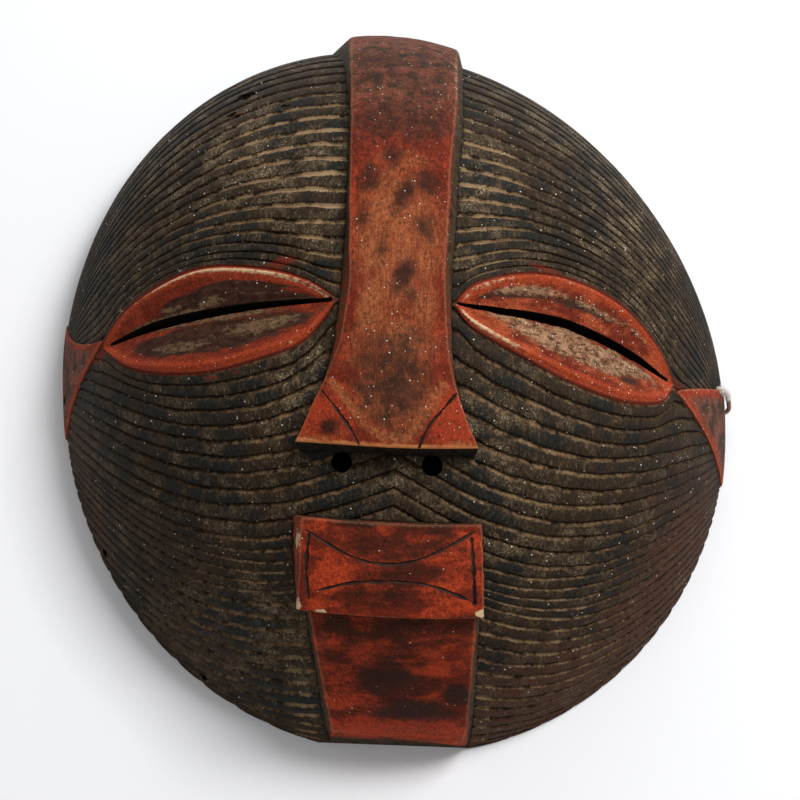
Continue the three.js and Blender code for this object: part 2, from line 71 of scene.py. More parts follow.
for name, place, width, power in LAMPS:
    lamp = bpy.data.lights.new(name, "AREA")
    lamp.energy = power
    lamp.size = width
    stand = bpy.data.objects.new(name, lamp)
    stand.location = place
    stand.rotation_euler = (AIM - Vector(place)).to_track_quat("-Z", "Y").to_euler()
    bpy.context.collection.objects.link(stand)

room = bpy.data.worlds.new("white_room")
room.use_nodes = True
room.node_tree.nodes["Background"].inputs["Color"].default_value = (1, 1, 1, 1)
room.node_tree.nodes["Background"].inputs["Strength"].default_value = ROOM_LIGHT
bpy.context.scene.world = room
bpy.context.scene.view_settings.view_transform = "Standard"


def lay_out(name, material, colour, roughness, gloss):
    """Names the newest object, gives it a plain material and puts it on the stage."""
    thing = bpy.context.object
    thing.name = name
    plain = bpy.data.materials.new(material)
    plain.use_nodes = True
    shader = plain.node_tree.nodes["Principled BSDF"]
    for socket, value in (("Base Color", colour), ("Roughness", roughness), ("Specular IOR Level", gloss)):
        shader.inputs[socket].default_value = value
    thing.data.materials.append(plain)


bpy.ops.mesh.primitive_plane_add(size=TABLE_SIZE, location=(0, 0, -0.0004))
lay_out("white_table", "matt_white", TABLE_WHITE, 0.9, 0.5)
# A black sheet lies on the table under the mask as painted shade, so that the slits and the nostrils open on
# darkness rather than on the lit white table
bpy.ops.mesh.primitive_circle_add(radius=CLOTH_RADIUS, fill_type="NGON", location=(0, 0, -0.0002))
lay_out("shade_cloth", "painted_shade_felt", SHADE_CLOTH_BLACK, 1, 0)

# The block that the mask is carved from, roughed out as a leaning oval bowl. Its face is described by
# a bowl unrolled flat: [p, q] is 0 at the middle of the dome and one unit long at the rim. Millimetres.
HALF_WIDTH = 171.9
HALF_LENGTH = 196.7
LEAN = math.radians(14.6)  # of the long axis, to the left at the top
SWELL = 0.007  # share by which the outline swells three times round
SWELL_BEARING = math.radians(-3)
OVAL_CENTRE = (-1.15, -0.45)
DEPTH = 140
SLOPE = math.radians(80)  # of the wall where it meets the rim
WALL = 13
ROOT = 6  # how deep the bands and the triangles are sunk in the bowl
MIDDLE = (-0.11, 6.14)  # the finished mask's middle seen from the front, over the frame's origin
MM = 0.001


def reach(bearing):
    """How far the rim is from the oval's centre."""
    turned = bearing - LEAN
    oval = 1 / np.hypot(np.cos(turned) / HALF_WIDTH, np.sin(turned) / HALF_LENGTH)
    return oval * (1 + SWELL * np.cos(3 * (bearing - SWELL_BEARING)))


def bowl(at, inset=0.0):
    """The points over these unrolled places, on the bowl or on one that is smaller by the inset."""
    run = np.hypot(at[..., 0], at[..., 1])
    bearing = np.arctan2(at[..., 1], at[..., 0])
    spread = np.sin(run * SLOPE) / math.sin(SLOPE) * (reach(bearing) - inset)
    rise = (np.cos(run * SLOPE) - math.cos(SLOPE)) / (1 - math.cos(SLOPE))
    x = OVAL_CENTRE[0] + spread * np.cos(bearing)
    y = OVAL_CENTRE[1] + spread * np.sin(bearing)
    return np.stack([x, y, rise * (DEPTH - inset)], -1)


def outward(at):
    step = 1e-4
    across = bowl(at + [step, 0]) - bowl(at - [step, 0])
    along = bowl(at + [0, step]) - bowl(at - [0, step])
    normal = np.cross(across, along)
    return normal / np.linalg.norm(normal, axis=-1, keepdims=True)


def on_face(at, proud):
    return bowl(at) + outward(at) * np.asarray(proud)[..., None]


def unroll(places):
    """The unrolled places that lie over these places [x, y] seen from the front."""
    places = np.asarray(places, float)
    dx = places[..., 0] - OVAL_CENTRE[0]
    dy = places[..., 1] - OVAL_CENTRE[1]
    bearing = np.arctan2(dy, dx)
    share = np.hypot(dx, dy) / reach(bearing) * math.sin(SLOPE)
    run = np.arcsin(np.clip(share, -1, 1)) / SLOPE
    return np.stack([run * np.cos(bearing), run * np.sin(bearing)], -1)


def across_at(x, q):
    """The places on the rows q of the unrolled bowl where its surface has the wanted x."""
    unit = HALF_WIDTH * SLOPE
    p = np.asarray(x, float) / unit
    q = np.broadcast_to(q, p.shape)
    for _ in range(14):
        p = p + (x - bowl(np.stack([p, q], -1))[..., 0]) / unit
    return np.stack([p, q], -1)


def along_curve(points, share):
    """Places on a smooth curve through the points, the same share of it between each two."""
    points = np.asarray(points, float)
    place = np.clip(share, 0, 1) * (len(points) - 1)
    first = np.minimum(place.astype(int), len(points) - 2)
    t = (place - first)[..., None]
    before, start = points[np.maximum(first - 1, 0)], points[first]
    end, after = points[first + 1], points[np.minimum(first + 2, len(points) - 1)]
    leave, arrive = (end - before) / 2, (after - start) / 2
    cubic = (2 * start - 2 * end + leave + arrive) * t**3
    return cubic + (-3 * start + 3 * end - 2 * leave - arrive) * t**2 + leave * t + start


def mix(a, b, share):
    return a + (b - a) * share


def smooth(value, low, high):
    t = np.clip((value - low) / (high - low), 0, 1)
    return t * t * (3 - 2 * t)


def waver(seed, waves):
    """An unsteady hand: a smooth seeded function, about -1 to 1, of a share 0 to 1."""
    chance = np.random.default_rng(seed)
    turns = chance.uniform(0.6, 1.4, len(waves)) * waves
    phases = chance.uniform(0, 2 * math.pi, len(waves))
    sizes = 1 / np.sqrt(np.arange(1, len(waves) + 1))

    def at(share):
        share = np.asarray(share, float)[..., None]
        return (np.sin(2 * math.pi * turns * share + phases) * sizes).sum(-1) / sizes.sum()

    return at


def blots(x, y, ellipses):
    """How strongly soft ellipses [x, y, half width, half height, turn, strength] cover each place."""
    total = np.zeros(np.broadcast(x, y).shape)
    for cx, cy, rx, ry, turn, strength in ellipses:
        c, s = math.cos(math.radians(turn)), math.sin(math.radians(turn))
        u = ((x - cx) * c + (y - cy) * s) / rx
        v = (-(x - cx) * s + (y - cy) * c) / ry
        total = np.maximum(total, strength * np.exp(-((u * u + v * v) ** 1.5)))
    return total


def along_stroke(x, y, points, width):
    """How close each place is to a drawn line, 1 on it."""
    near = np.full(np.broadcast(x, y).shape, 1e9)
    for (x0, y0), (x1, y1) in zip(points, points[1:]):
        run = (x1 - x0) ** 2 + (y1 - y0) ** 2
        t = np.clip(((x - x0) * (x1 - x0) + (y - y0) * (y1 - y0)) / run, 0, 1)
        near = np.minimum(near, np.hypot(x - x0 - t * (x1 - x0), y - y0 - t * (y1 - y0)))
    return np.exp(-((near / width) ** 2))


FINISHES = ["blackened_ridges", "red_ochre", "painted_lids", "bare_wood", "painted_shade_cut", "scored_line"]
for finish in FINISHES:
    bpy.data.materials.new(finish)
BLACK, RED, LID, BARE, SHADE, SCORE = range(len(FINISHES))
ROW_READINGS = ["groove", "wall", "lid_edge", "lid_dark", "lid_tan", "crest", "smear"]
FACE_READINGS = [*ROW_READINGS, "pale", "warm", "dust", "rot"]
BAND_READINGS = ["band_edge", "patina", "worn", "bright", "cream", "dusty", "flank_red", "strip"]
READINGS = ["made", "near_band", *FACE_READINGS, *BAND_READINGS]


def to_frame(points):
    """The carver's millimetres in metres about the frame's origin."""
    return (points - [*MIDDLE, 0]) * MM


def piece(name, points, faces, finish, readings=None):
    """A mesh of these points in the carver's millimetres, with one finish or one for each face."""
    points = np.asarray(points, float).reshape(-1, 3)
    mesh = bpy.data.meshes.new(name)
    mesh.from_pydata(to_frame(points), [], [list(map(int, f)) for f in faces])
    for material in FINISHES:
        mesh.materials.append(bpy.data.materials[material])
    mesh.polygons.foreach_set("material_index", np.broadcast_to(finish, len(mesh.polygons)).astype(np.int32))
    readings = dict(readings or {}, made=1.0)
    for reading in READINGS:
        values = np.broadcast_to(readings.get(reading, 0.0), points.shape[:1]).astype(np.float32)
        mesh.attributes.new(reading, "FLOAT", "POINT").data.foreach_set("value", values)
    thing = bpy.data.objects.new(name, mesh)
    bpy.context.collection.objects.link(thing)
    return thing


def clean(thing):
    """Merges shared points and turns all faces outward."""
    near = 2e-6  # metres
    form = bmesh.new()
    form.from_mesh(thing.data)
    bmesh.ops.remove_doubles(form, verts=form.verts, dist=near)
    bmesh.ops.dissolve_degenerate(form, edges=form.edges, dist=near / 4)
    loose = [v for v in form.verts if not v.link_faces]
    bmesh.ops.delete(form, geom=loose, context="VERTS")
    bmesh.ops.recalc_face_normals(form, faces=form.faces)
    if form.calc_volume(signed=True) < 0:
        bmesh.ops.reverse_faces(form, faces=form.faces)
    form.to_mesh(thing.data)
    form.free()
    return thing


def carve(wood, tool, operation):
    """Joins or cuts one closed mesh with another, and deletes the second."""
    change = wood.modifiers.new("carve", "BOOLEAN")
    change.solver = "MANIFOLD"
    change.operation = operation
    change.object = tool
    ready = wood.evaluated_get(bpy.context.evaluated_depsgraph_get())
    spent = [wood.data, tool.data]
    wood.data = bpy.data.meshes.new_from_object(ready)
    wood.modifiers.remove(change)
    bpy.data.objects.remove(tool)
    for mesh in spent:
        bpy.data.meshes.remove(mesh)


def joined(things):
    """One object of several that don't touch."""
    with bpy.context.temp_override(active_object=things[0], selected_editable_objects=things):
        bpy.ops.object.join()
    return things[0]


# The lined face. Curved lines are cut with a V-shaped tool from the nose to the rim, closer together at
# the temples, over the brow and under the cheeks. The eyes are two long lenses, each with a narrow slit.
UPPER_LINES = 24
LOWER_LINES = 31
GROOVE_DEPTH = 1.5
GROOVE_MIDDLE = 0.24  # share of a line's pitch where the cut is deepest
GROOVE_HALF = 0.17
GROOVE_LEAN = 0.2  # how much steeper the wall on the crown's side is
DEPTH_TO_PITCH = 0.19
RIM_DEPTH = 0.55  # share of that depth left at the rim
CUT_ROWS = [(-1.15, 0), (-0.88, 0.14), (-0.45, 0.66), (0, 1), (0.45, 0.6), (0.92, 0.12), (1.25, 0)]
RIDGE_MIDDLE = 0.73
RIDGE_CROWN = 0.12
WANDER = 0.1  # how far a line strays from its even place, in pitches
UPPER_CROWDING = 0.45  # how strongly the forehead's lines crowd where they start at the bridge
LOWER_CROWDING = -0.08
RIM_CROWDING = 0.85  # how strongly the cheek's lines crowd at the rim below the temple's triangle
SAG_POWER = 1.3  # above 1, so that the line that sags most is nearer to the lid than to the chin
LEVEL_START = (0.14, 0.4, 0.55)  # lower lines sag only past this share of them: [share, from, to]
BROW_FADE = 0.45  # share of the forehead over which the lines lose the form of the eye's corners
CHEEK_FADE = 0.2
CHEEK_SHARE = 0.37  # share of the lower lines that end under the temple's triangle
CHIN_BEARING = -82  # degrees, where the last line meets the rim beside the chin
BRIDGE = (2.5, -8)
EYE_START = 0.16  # share of a line's run where the eye begins
EYE_END = 0.74
LIDS_MEET = 0.96  # how far a lid's last row lies on the way from its outline to the slit
EASING = [(-1, 1), (-0.5, 2), (0, 2), (0.5, 2), (1, 1)]  # [share of the reach, weight]
EASING_REACH = 0.085
LID_FULLNESS = 0.6  # below 1, so that the lids rise steeply from the eye's corners
RIDGE_AWAY = 2.2  # the groove reading in the middle of a ridge; it is 0 in the middle of a cut
# A lid's section from its outer edge to the slit: [share of the way, height]
UPPER_LID_SECTION = [(0, 0), (0.035, 0.5), (0.07, 1.3), (0.1, 1.6), (0.135, 1.45), (0.18, 0.7),
                     (0.25, -0.1), (0.34, -0.8), (0.45, -1.5), (0.56, -2.2), (0.68, -3), (0.8, -3.8),
                     (0.91, -4.5), (1, -5)]
LOWER_LID_SECTION = [(0, 0), (0.03, 0.4), (0.06, 1.1), (0.09, 1.5), (0.12, 1.4), (0.18, 0.8), (0.26, 0.1),
                     (0.35, -0.6), (0.46, -1.4), (0.57, -2.2), (0.69, -3), (0.8, -3.8), (0.91, -4.5),
                     (1, -5)]
COLUMNS = np.concatenate([[0, 0.06], np.linspace(0.1, EYE_START, 5)[:-1],
                          np.linspace(EYE_START, EYE_END, 45)[:-1], np.linspace(EYE_END, 1, 28)])
# The eyes, as [x, y] places seen from the front, from the nose to the temple. Divide is the bearing at the
# rim between the forehead's lines and the cheek's; middle, top and foot shape the temple's triangle
LEFT = {
    "side": -1, "seed": 11,
    "inner": (-27, -8), "outer": (-146, -2),
    "upper_lid": [(-27, -8), (-41, 3), (-62, 12), (-96, 19.5), (-126, 14), (-140, 6), (-146, -2)],
    "lower_lid": [(-27, -8), (-41, -25), (-58, -31), (-86, -34), (-111, -29), (-132, -18), (-146, -2)],
    "slit_top": [(-29, -6.2), (-50, -4), (-92, -0.9), (-121, 0.6), (-143, -1.2)],
    "slit_foot": [(-29, -7.8), (-50, -7.1), (-92, -5.8), (-121, -4.3), (-143, -2.8)],
    "divide": 5, "crowding": 1.7,
    "middle": 1, "top": 12.8, "foot": -9.6, "apex": 0.7, "top_sweep": 1.5, "foot_sweep": 0.8,
    "sag": 0.075, "torn": 0.15,
    # worn places on the lids: [share along from the nose, share across to the slit, halves, strength]
    "upper_dark": [(0.39, 0.48, 0.15, 0.15, 1.1), (0.58, 0.66, 0.07, 0.2, 1.2),
                   (0.5, 0.58, 0.12, 0.1, 0.9), (0.42, 0.84, 0.34, 0.26, 1.15),
                   (0.25, 0.42, 0.1, 0.08, 0.8), (0.7, 0.62, 0.1, 0.06, 0.8)],
    "upper_tan": [(0.48, 0.76, 0.06, 0.1, 1.1), (0.62, 0.66, 0.04, 0.06, 1.3), (0.76, 0.8, 0.08, 0.06, 1),
                  (0.66, 0.88, 0.2, 0.1, 1), (0.36, 0.7, 0.12, 0.06, 0.7)],
    "lower_dark": [(0.47, 0.58, 0.34, 0.34, 1.05), (0.7, 0.52, 0.14, 0.28, 1),
                   (0.22, 0.62, 0.08, 0.14, 0.7)],
    "lower_tan": [(0.52, 0.93, 0.34, 0.1, 0.9), (0.62, 0.46, 0.14, 0.14, 0.98),
                  (0.33, 0.6, 0.18, 0.2, 0.85), (0.5, 0.62, 0.06, 0.12, 0.6), (0.08, 0.6, 0.05, 0.2, 0.6)],
    # Where the painted highlight runs along each crest: [share along from the nose, half length, strength]
    "upper_crest": [(0.42, 0.34, 1), (0.1, 0.12, 0.9), (0.72, 0.1, 0.6)],
    "lower_crest": [(0.2, 0.2, 0.65), (0.62, 0.14, 0.4)],
}
RIGHT = {
    "side": 1, "seed": 23,
    "inner": (30, -10), "outer": (140, -25),
    "upper_lid": [(30, -10), (40, 1), (63, 10), (86, 12), (112, 6), (131, -9), (140, -25)],
    "lower_lid": [(30, -10), (39, -20), (62, -31), (87, -40), (113, -42.5), (133, -36), (140, -25)],
    "slit_top": [(31, -8.4), (52, -7.6), (87, -7.4), (120, -14.6), (138, -23)],
    "slit_foot": [(31, -9.4), (52, -11.2), (87, -12.9), (120, -19.6), (138, -24.4)],
    "divide": -6.5, "crowding": 1.5,
    "middle": -11, "top": 0.5, "foot": -16.8, "apex": 0.672, "top_sweep": 0.8, "foot_sweep": 0.9,
    "sag": 0.11, "torn": 0.55,
    "upper_dark": [(0.32, 0.5, 0.14, 0.18, 0.9), (0.55, 0.55, 0.14, 0.16, 0.75),
                   (0.2, 0.6, 0.08, 0.1, 0.7)],
    "upper_tan": [(0.36, 0.44, 0.2, 0.18, 0.8), (0.6, 0.46, 0.14, 0.14, 0.75), (0.2, 0.4, 0.08, 0.1, 0.6),
                  (0.78, 0.34, 0.12, 0.14, 0.75)],
    "lower_dark": [(0.62, 0.5, 0.06, 0.12, 0.8), (0.7, 0.4, 0.06, 0.14, 0.75),
                   (0.3, 0.86, 0.08, 0.06, 0.7)],
    "lower_tan": [(0.52, 0.64, 0.3, 0.34, 1.02), (0.3, 0.84, 0.16, 0.14, 0.9),
                  (0.74, 0.66, 0.12, 0.22, 0.95), (0.84, 0.4, 0.06, 0.12, 0.6),
                  (0.5, 0.87, 0.1, 0.05, 1.7), (0.67, 0.85, 0.04, 0.07, 1.7)],
    "upper_crest": [(0.2, 0.16, 0.75), (0.5, 0.12, 0.65), (0.8, 0.12, 0.5)],
    "lower_crest": [(0.2, 0.17, 1), (0.9, 0.08, 0.6)],
}
# Soft ellipses on the lined face in millimetres: [x, y, half width, half height, turn, strength]
PALE_PLACES = [(-105, 105, 46, 66, 38, 0.7), (122, 70, 34, 74, -12, 0.9), (80, 130, 46, 34, -40, 0.8),
               (-70, 150, 40, 26, 20, 0.6), (-42, -50, 20, 26, 0, 1), (45, -62, 20, 30, 0, 0.8),
               (-60, 60, 14, 22, 0, 0.9), (-85, 64, 10, 10, 0, 0.8), (-35, 90, 14, 50, 0, 0.6),
               (45, 60, 14, 50, 0, 0.7), (5, -97, 30, 10, 0, 0.7), (75, -110, 30, 20, 0, 0.4),
               (-55, -150, 20, 24, 0, 0.45)]
DUST_PLACES = [(-30, 66, 24, 64, 0, 1), (44, 58, 26, 60, 0, 0.95), (-56, 94, 46, 34, 0, 0.9),
               (-60, 54, 62, 22, 10, 0.8), (-138, 30, 26, 50, -20, 0.5), (134, 20, 30, 66, 0, 0.45),
               (-44, -66, 44, 50, 0, 0.42), (66, -80, 60, 60, 0, 0.42), (-60, -140, 70, 46, 0, 0.4),
               (70, -150, 60, 40, 0, 0.45), (5, -98, 30, 12, 0, 0.25), (80, 90, 30, 40, 0, 0.35),
               (-44, -176, 8, 34, 12, 0.8), (44, -176, 6, 34, -4, 0.7)]
ROT_PLACES = [(-76, 134.6, 6, 5, 0, 1), (-81.5, 118.6, 3.6, 4, 0, 1), (-54.5, 116.8, 3.4, 2.4, 0, 0.9)]
SMEARS = [(-53.5, 14.9, 9, 3.6, 10, 1), (74.4, 15.4, 10, 2.4, -8, 0.9), (-87.7, -38.2, 5, 1.5, 0, 0.9),
          (-75.3, -37.8, 4, 1.5, 0, 0.8), (-22, -2, 4, 14, 0, 0.4), (-148, -3, 7, 6, 0, 1.1),
          (143, -25, 7, 5, 0, 0.7)]
WARM_PLACES = [(130, -110, 70, 70, 40, 1.2), (70, -172, 70, 40, 20, 1.1), (-110, 110, 60, 50, 45, 0.6),
               (-150, -60, 36, 80, 0, 0.7), (-90, -140, 60, 50, 0, 0.5), (130, 90, 50, 70, -30, 0.5)]


def rim_place(eye, degrees):
    bearing = np.radians(degrees)
    return np.stack([eye["side"] * np.cos(bearing), np.sin(bearing)], -1)


def lid_line(eye, lid, u):
    """One lid's outline, carried on to the middle of the nose and to the rim."""
    share = u[..., None]
    bridge, inner, outer = unroll(BRIDGE), unroll(eye["inner"]), unroll(eye["outer"])
    end = rim_place(eye, eye["divide"])
    curve = along_curve(unroll(eye[lid]), (u - EYE_START) / (EYE_END - EYE_START))
    curve = np.where(share < EYE_START, mix(bridge, inner, share / EYE_START), curve)
    return np.where(share > EYE_END, mix(outer, end, (share - EYE_END) / (1 - EYE_END)), curve)


def slit_line(eye, s):
    """The middle line of the slit, from one corner of the eye to the other."""
    middle = (unroll(eye["slit_top"]) + unroll(eye["slit_foot"])) / 2
    return along_curve([unroll(eye["inner"]), *middle[1:-1], unroll(eye["outer"])], s)


def eased_lid_line(eye, lid, u, v):
    """The same line with its corners eased more and more with the distance from the lid."""
    reach_u = np.minimum(EASING_REACH * smooth(v, 0, 0.1), np.minimum(u, 1 - u))
    total = sum(weight for _, weight in EASING)
    return sum(lid_line(eye, lid, u + shift * reach_u) * (weight / total) for shift, weight in EASING)


def soft_lid_line(eye, lid, u):
    """The same line without the eye's sharp corners."""
    middle = 0.45
    bridge, end = unroll(BRIDGE), rim_place(eye, eye["divide"])
    swing = lid_line(eye, lid, np.array(middle)) - mix(bridge, end, middle)
    return mix(bridge, end, u[..., None]) + swing * np.sin(math.pi * u)[..., None]


def end_bearing(eye, upper, v):
    if upper:
        return mix(eye["divide"], eye["top"], v ** eye["crowding"])
    w = np.clip((v - CHEEK_SHARE) / (1 - CHEEK_SHARE), 0, 1)
    under_temple = mix(eye["divide"], eye["foot"], (v / CHEEK_SHARE) ** eye["crowding"])
    beside_chin = mix(eye["foot"], CHIN_BEARING, mix(w, w * w, RIM_CROWDING))
    return np.where(v < CHEEK_SHARE, under_temple, beside_chin)


def hang(v, u):
    most = 1 / (1 + SAG_POWER)
    line = v * np.clip(1 - v, 0, 1) ** SAG_POWER / (most * (1 - most) ** SAG_POWER)
    level = LEVEL_START[0] * smooth(v, LEVEL_START[1], LEVEL_START[2])
    return line * np.sin(math.pi * np.clip((u - level) / (1 - level), 0, 1))


def face_line(eye, upper, v, u):
    """A line of the face, v from 0 at the lid to 1 at the rim, u from 0 on the nose to 1 at the rim."""
    v, u = np.broadcast_arrays(v, u)
    lid = "upper_lid" if upper else "lower_lid"
    fade = smooth(v, 0, BROW_FADE if upper else CHEEK_FADE)[..., None]
    near = mix(eased_lid_line(eye, lid, u, v), soft_lid_line(eye, lid, u), fade)
    pole = np.array([0, 1.0 if upper else -1.0])
    last = eye["top"] if upper else CHIN_BEARING
    arc = rim_place(eye, mix(90 * pole[1], last, u))
    bridge = unroll(BRIDGE)
    reached = (mix(v, v * v, UPPER_CROWDING) if upper else v)[..., None]
    start = mix(bridge, pole, reached if upper else mix(v, v * v, LOWER_CROWDING)[..., None])
    end = rim_place(eye, end_bearing(eye, upper, v))
    share = u[..., None]
    near_chord = mix(bridge, rim_place(eye, eye["divide"]), share)
    far_chord = mix(pole, rim_place(eye, last), share)
    line = mix(start, end, share) + (1 - reached) * (near - near_chord) + reached * (arc - far_chord)
    if not upper:
        line = line - np.stack([np.zeros(u.shape), eye["sag"] * hang(v, u)], -1)
    return line


def zone_rows(eye, upper):
    """The rows of the forehead or the cheeks from the lid outward: places, heights and readings."""
    lines = UPPER_LINES if upper else LOWER_LINES
    u = COLUMNS
    hands = [waver(eye["seed"] * 100 + upper * 50 + line, [2, 4.3, 9, 17]) for line in range(lines + 1)]
    loose = smooth(u, 0, 0.09)
    strays = [WANDER * loose * hand(u) * (0 < line < lines) for line, hand in enumerate(hands)]
    rows = []
    for line in range(lines):
        force = loose * waver(eye["seed"] * 300 + upper * 50 + line, [1.5, 4, 8, 20, 33])(u)
        above = face_line(eye, upper, np.array((line - 0.3) / lines).clip(0), u)
        below = face_line(eye, upper, np.array((line + 0.7) / lines), u)
        pitch = np.linalg.norm(bowl(above) - bowl(below), axis=-1)
        depth = np.minimum(GROOVE_DEPTH, DEPTH_TO_PITCH * pitch) * (0.9 + 0.35 * force)
        depth = depth * (1 - (1 - RIM_DEPTH) * smooth(u, 0.86, 1))
        crownward = 1 if upper else -1
        for offset, share in CUT_ROWS:
            lean = 1 - GROOVE_LEAN if offset * crownward > 0 else 1 + GROOVE_LEAN
            place = GROOVE_MIDDLE + offset * GROOVE_HALF * lean
            v = (line + np.maximum(place, 0.004) + strays[line]) / lines
            # The last value tells a cut's walls apart: +1 on the wall that faces the crown and the lamps, -1
            # on the wall that the paint shades
            rows.append((v, -depth * share, abs(offset), -offset * crownward / 1.15))
        v = (line + RIDGE_MIDDLE + (strays[line] + strays[line + 1]) / 2) / lines
        if line < lines - 1:
            rows.append((v, RIDGE_CROWN * (1 + force), RIDGE_AWAY, 0))
    flat = np.zeros(u.shape)
    rows = [(flat, flat, 1.4, 0), *rows, (flat + 1, flat, RIDGE_AWAY, 0)]
    lid = bowl(lid_line(eye, "upper_lid" if upper else "lower_lid", u))
    inside = smooth(u, EYE_START - 0.01, EYE_START + 0.03) * smooth(u, EYE_END + 0.02, EYE_END - 0.02)
    found = []
    for v, height, away, wall in rows:
        at = face_line(eye, upper, v, u)
        gap = np.linalg.norm(bowl(at) - lid, axis=-1)
        found.append({"at": at, "height": height, "groove": flat + away, "wall": flat + wall,
                      "smear": inside * smooth(gap, 3.4, 0.6)})
    return found


def lid_rows(eye, lid):
    """The rows of one lid from its outer edge to the slit."""
    u = COLUMNS
    outline = lid_line(eye, lid, u)
    s = np.clip((u - EYE_START) / (EYE_END - EYE_START), 0, 1)
    slit = np.where(((s > 0) & (s < 1))[:, None], slit_line(eye, s), outline)
    width = np.linalg.norm(bowl(outline) - bowl(slit), axis=-1)
    part = lid.split("_")[0]
    # How strongly the painted highlight shows along the lid's crest
    crest = np.max([level * np.exp(-(((s - c) / half) ** 4)) for c, half, level in eye[part + "_crest"]], 0)
    found = []
    for share, height in (UPPER_LID_SECTION if part == "upper" else LOWER_LID_SECTION)[1:]:
        dent = waver(eye["seed"] * 7 + int(share * 40), [3, 7, 12])(s) * 0.12
        at = mix(outline, slit, share * LIDS_MEET)
        wear = {k: blots(s, share, [(*p[:4], 0, p[4]) for p in eye[part + k]]) for k in ("_dark", "_tan")}
        found.append({"at": at, "height": (height + dent) * np.sin(math.pi * s) ** LID_FULLNESS,
                      "lid_edge": share * width, "lid_dark": wear["_dark"], "lid_tan": wear["_tan"],
                      "crest": crest, "smear": 1 + 0 * u, "groove": 2 + 0 * u})
    return found


def lined_face():
    points, faces, finishes = [], [], []
    readings = {k: [] for k in ROW_READINGS}
    rims = []
    count = len(COLUMNS)
    for eye in (LEFT, RIGHT):
        upper, lower = zone_rows(eye, True), zone_rows(eye, False)
        lids = lid_rows(eye, "upper_lid") + lid_rows(eye, "lower_lid")[::-1]
        rows = upper[::-1] + lids + lower
        finish = [BLACK] * (len(upper) - 1) + [LID] * (len(lids) + 1) + [BLACK] * (len(lower) - 1)
        first = len(points) * count
        for r, row in enumerate(rows):
            at = on_face(row["at"], row["height"])
            if r in (0, len(rows) - 1):
                at[:, 2] = 0
            at[-1, 2] = 0
            points.append(at)
            for key, found in readings.items():
                found.append(row.get(key, np.zeros(count)))
        place = first + np.arange(len(rows))[:, None] * count + np.arange(count)
        quads = np.stack([place[:-1, :-1], place[1:, :-1], place[1:, 1:], place[:-1, 1:]], -1)
        if eye["side"] < 0:
            quads = quads[..., ::-1]
        faces.extend(quads.reshape(-1, 4))
        finishes.extend(np.repeat(finish, count - 1))
        rims.append(np.concatenate([place[0], place[1:, -1], place[-1, -2::-1]]))
    points = np.concatenate(points)
    hub = len(points)
    points = np.vstack([points, [*OVAL_CENTRE, 0]])
    for eye, edge in zip((LEFT, RIGHT), rims):
        fan = np.stack([np.full(len(edge) - 1, hub), edge[:-1], edge[1:]], -1)
        faces.extend(fan if eye["side"] > 0 else fan[:, ::-1])
        finishes.extend([BARE] * len(fan))
    readings = {k: np.append(np.concatenate(rows), 0) for k, rows in readings.items()}
    x, y = points[:, 0], points[:, 1]
    spots = {"pale": PALE_PLACES, "warm": WARM_PLACES, "dust": DUST_PLACES, "rot": ROT_PLACES}
    readings.update({key: blots(x, y, places) for key, places in spots.items()})
    rimward = smooth(np.linalg.norm(unroll(points[:, :2]), axis=1), 0.62, 0.9)
    readings["warm"] *= 0.3 + 0.7 * rimward
    readings["smear"] = np.maximum(readings["smear"], blots(x, y, SMEARS))
    return clean(piece("mask_face", points, faces, finishes, readings))


face = lined_face()

# The raised bands, left standing when the face was lined: the long nose that widens to two wings, the
# boxed mouth, the chin and the two temple triangles. All are painted with red ochre.
# Each row: along (1 upper rim, -1 lower rim), left and right edge, proud, and each flank's spread
NOSE = [(1.12, -22, 33, 9, 13, 5), (0.9, -22, 33, 9, 13, 5), (0.65, -21.5, 31.5, 8, 4, 5),
        (0.43, -20.3, 30.5, 8, 1.5, 5), (0.23, -20, 27, 8, 1.7, 5), (0.11, -20, 25.2, 8, 2.7, 5),
        (-0.01, -19.7, 24.2, 8, 4.8, 4), (-0.11, -23, 25.2, 8.5, 4.2, 3),
        (-0.17, -28.3, 27, 9.5, 2.7, 2.5), (-0.21, -33.3, 30, 10.5, 2, 2),
        (-0.25, -38, 33.5, 11.5, 1.2, 1), (-0.294, -43.2, 38.8, 12, 0.5, 0.5)]
MOUTH = [(-0.426, -42, 41.5, 5, 5, 1.5), (-0.51, -42, 41.5, 9.5, 5, 1.5), (-0.588, -42, 41, 13, 4, 1.5)]
CHIN = [(-0.56, -38.5, 38.5, 10, 5, 4), (-0.7, -33.5, 37, 9, 5, 4), (-0.8, -30.5, 36, 7.5, 5, 4),
        (-0.9, -28.5, 35, 5, 5, 4), (-1, -27, 34.5, 1.8, 2, 1.5), (-1.12, -26.5, 34, 1.2, 1, 1)]
BAND_STEP = 0.011
END_STEPS = (0.0055, 0.003, 0.0012)  # closer stations beside a band's end
BOWL_RUN = 240  # about the mm on the wood for one unit of the unrolled bowl
CROWNING = 0.8  # rise of a band's middle over its edges
EDGE_ROUND = 1.1
TRIANGLE_PROUD = 1.1
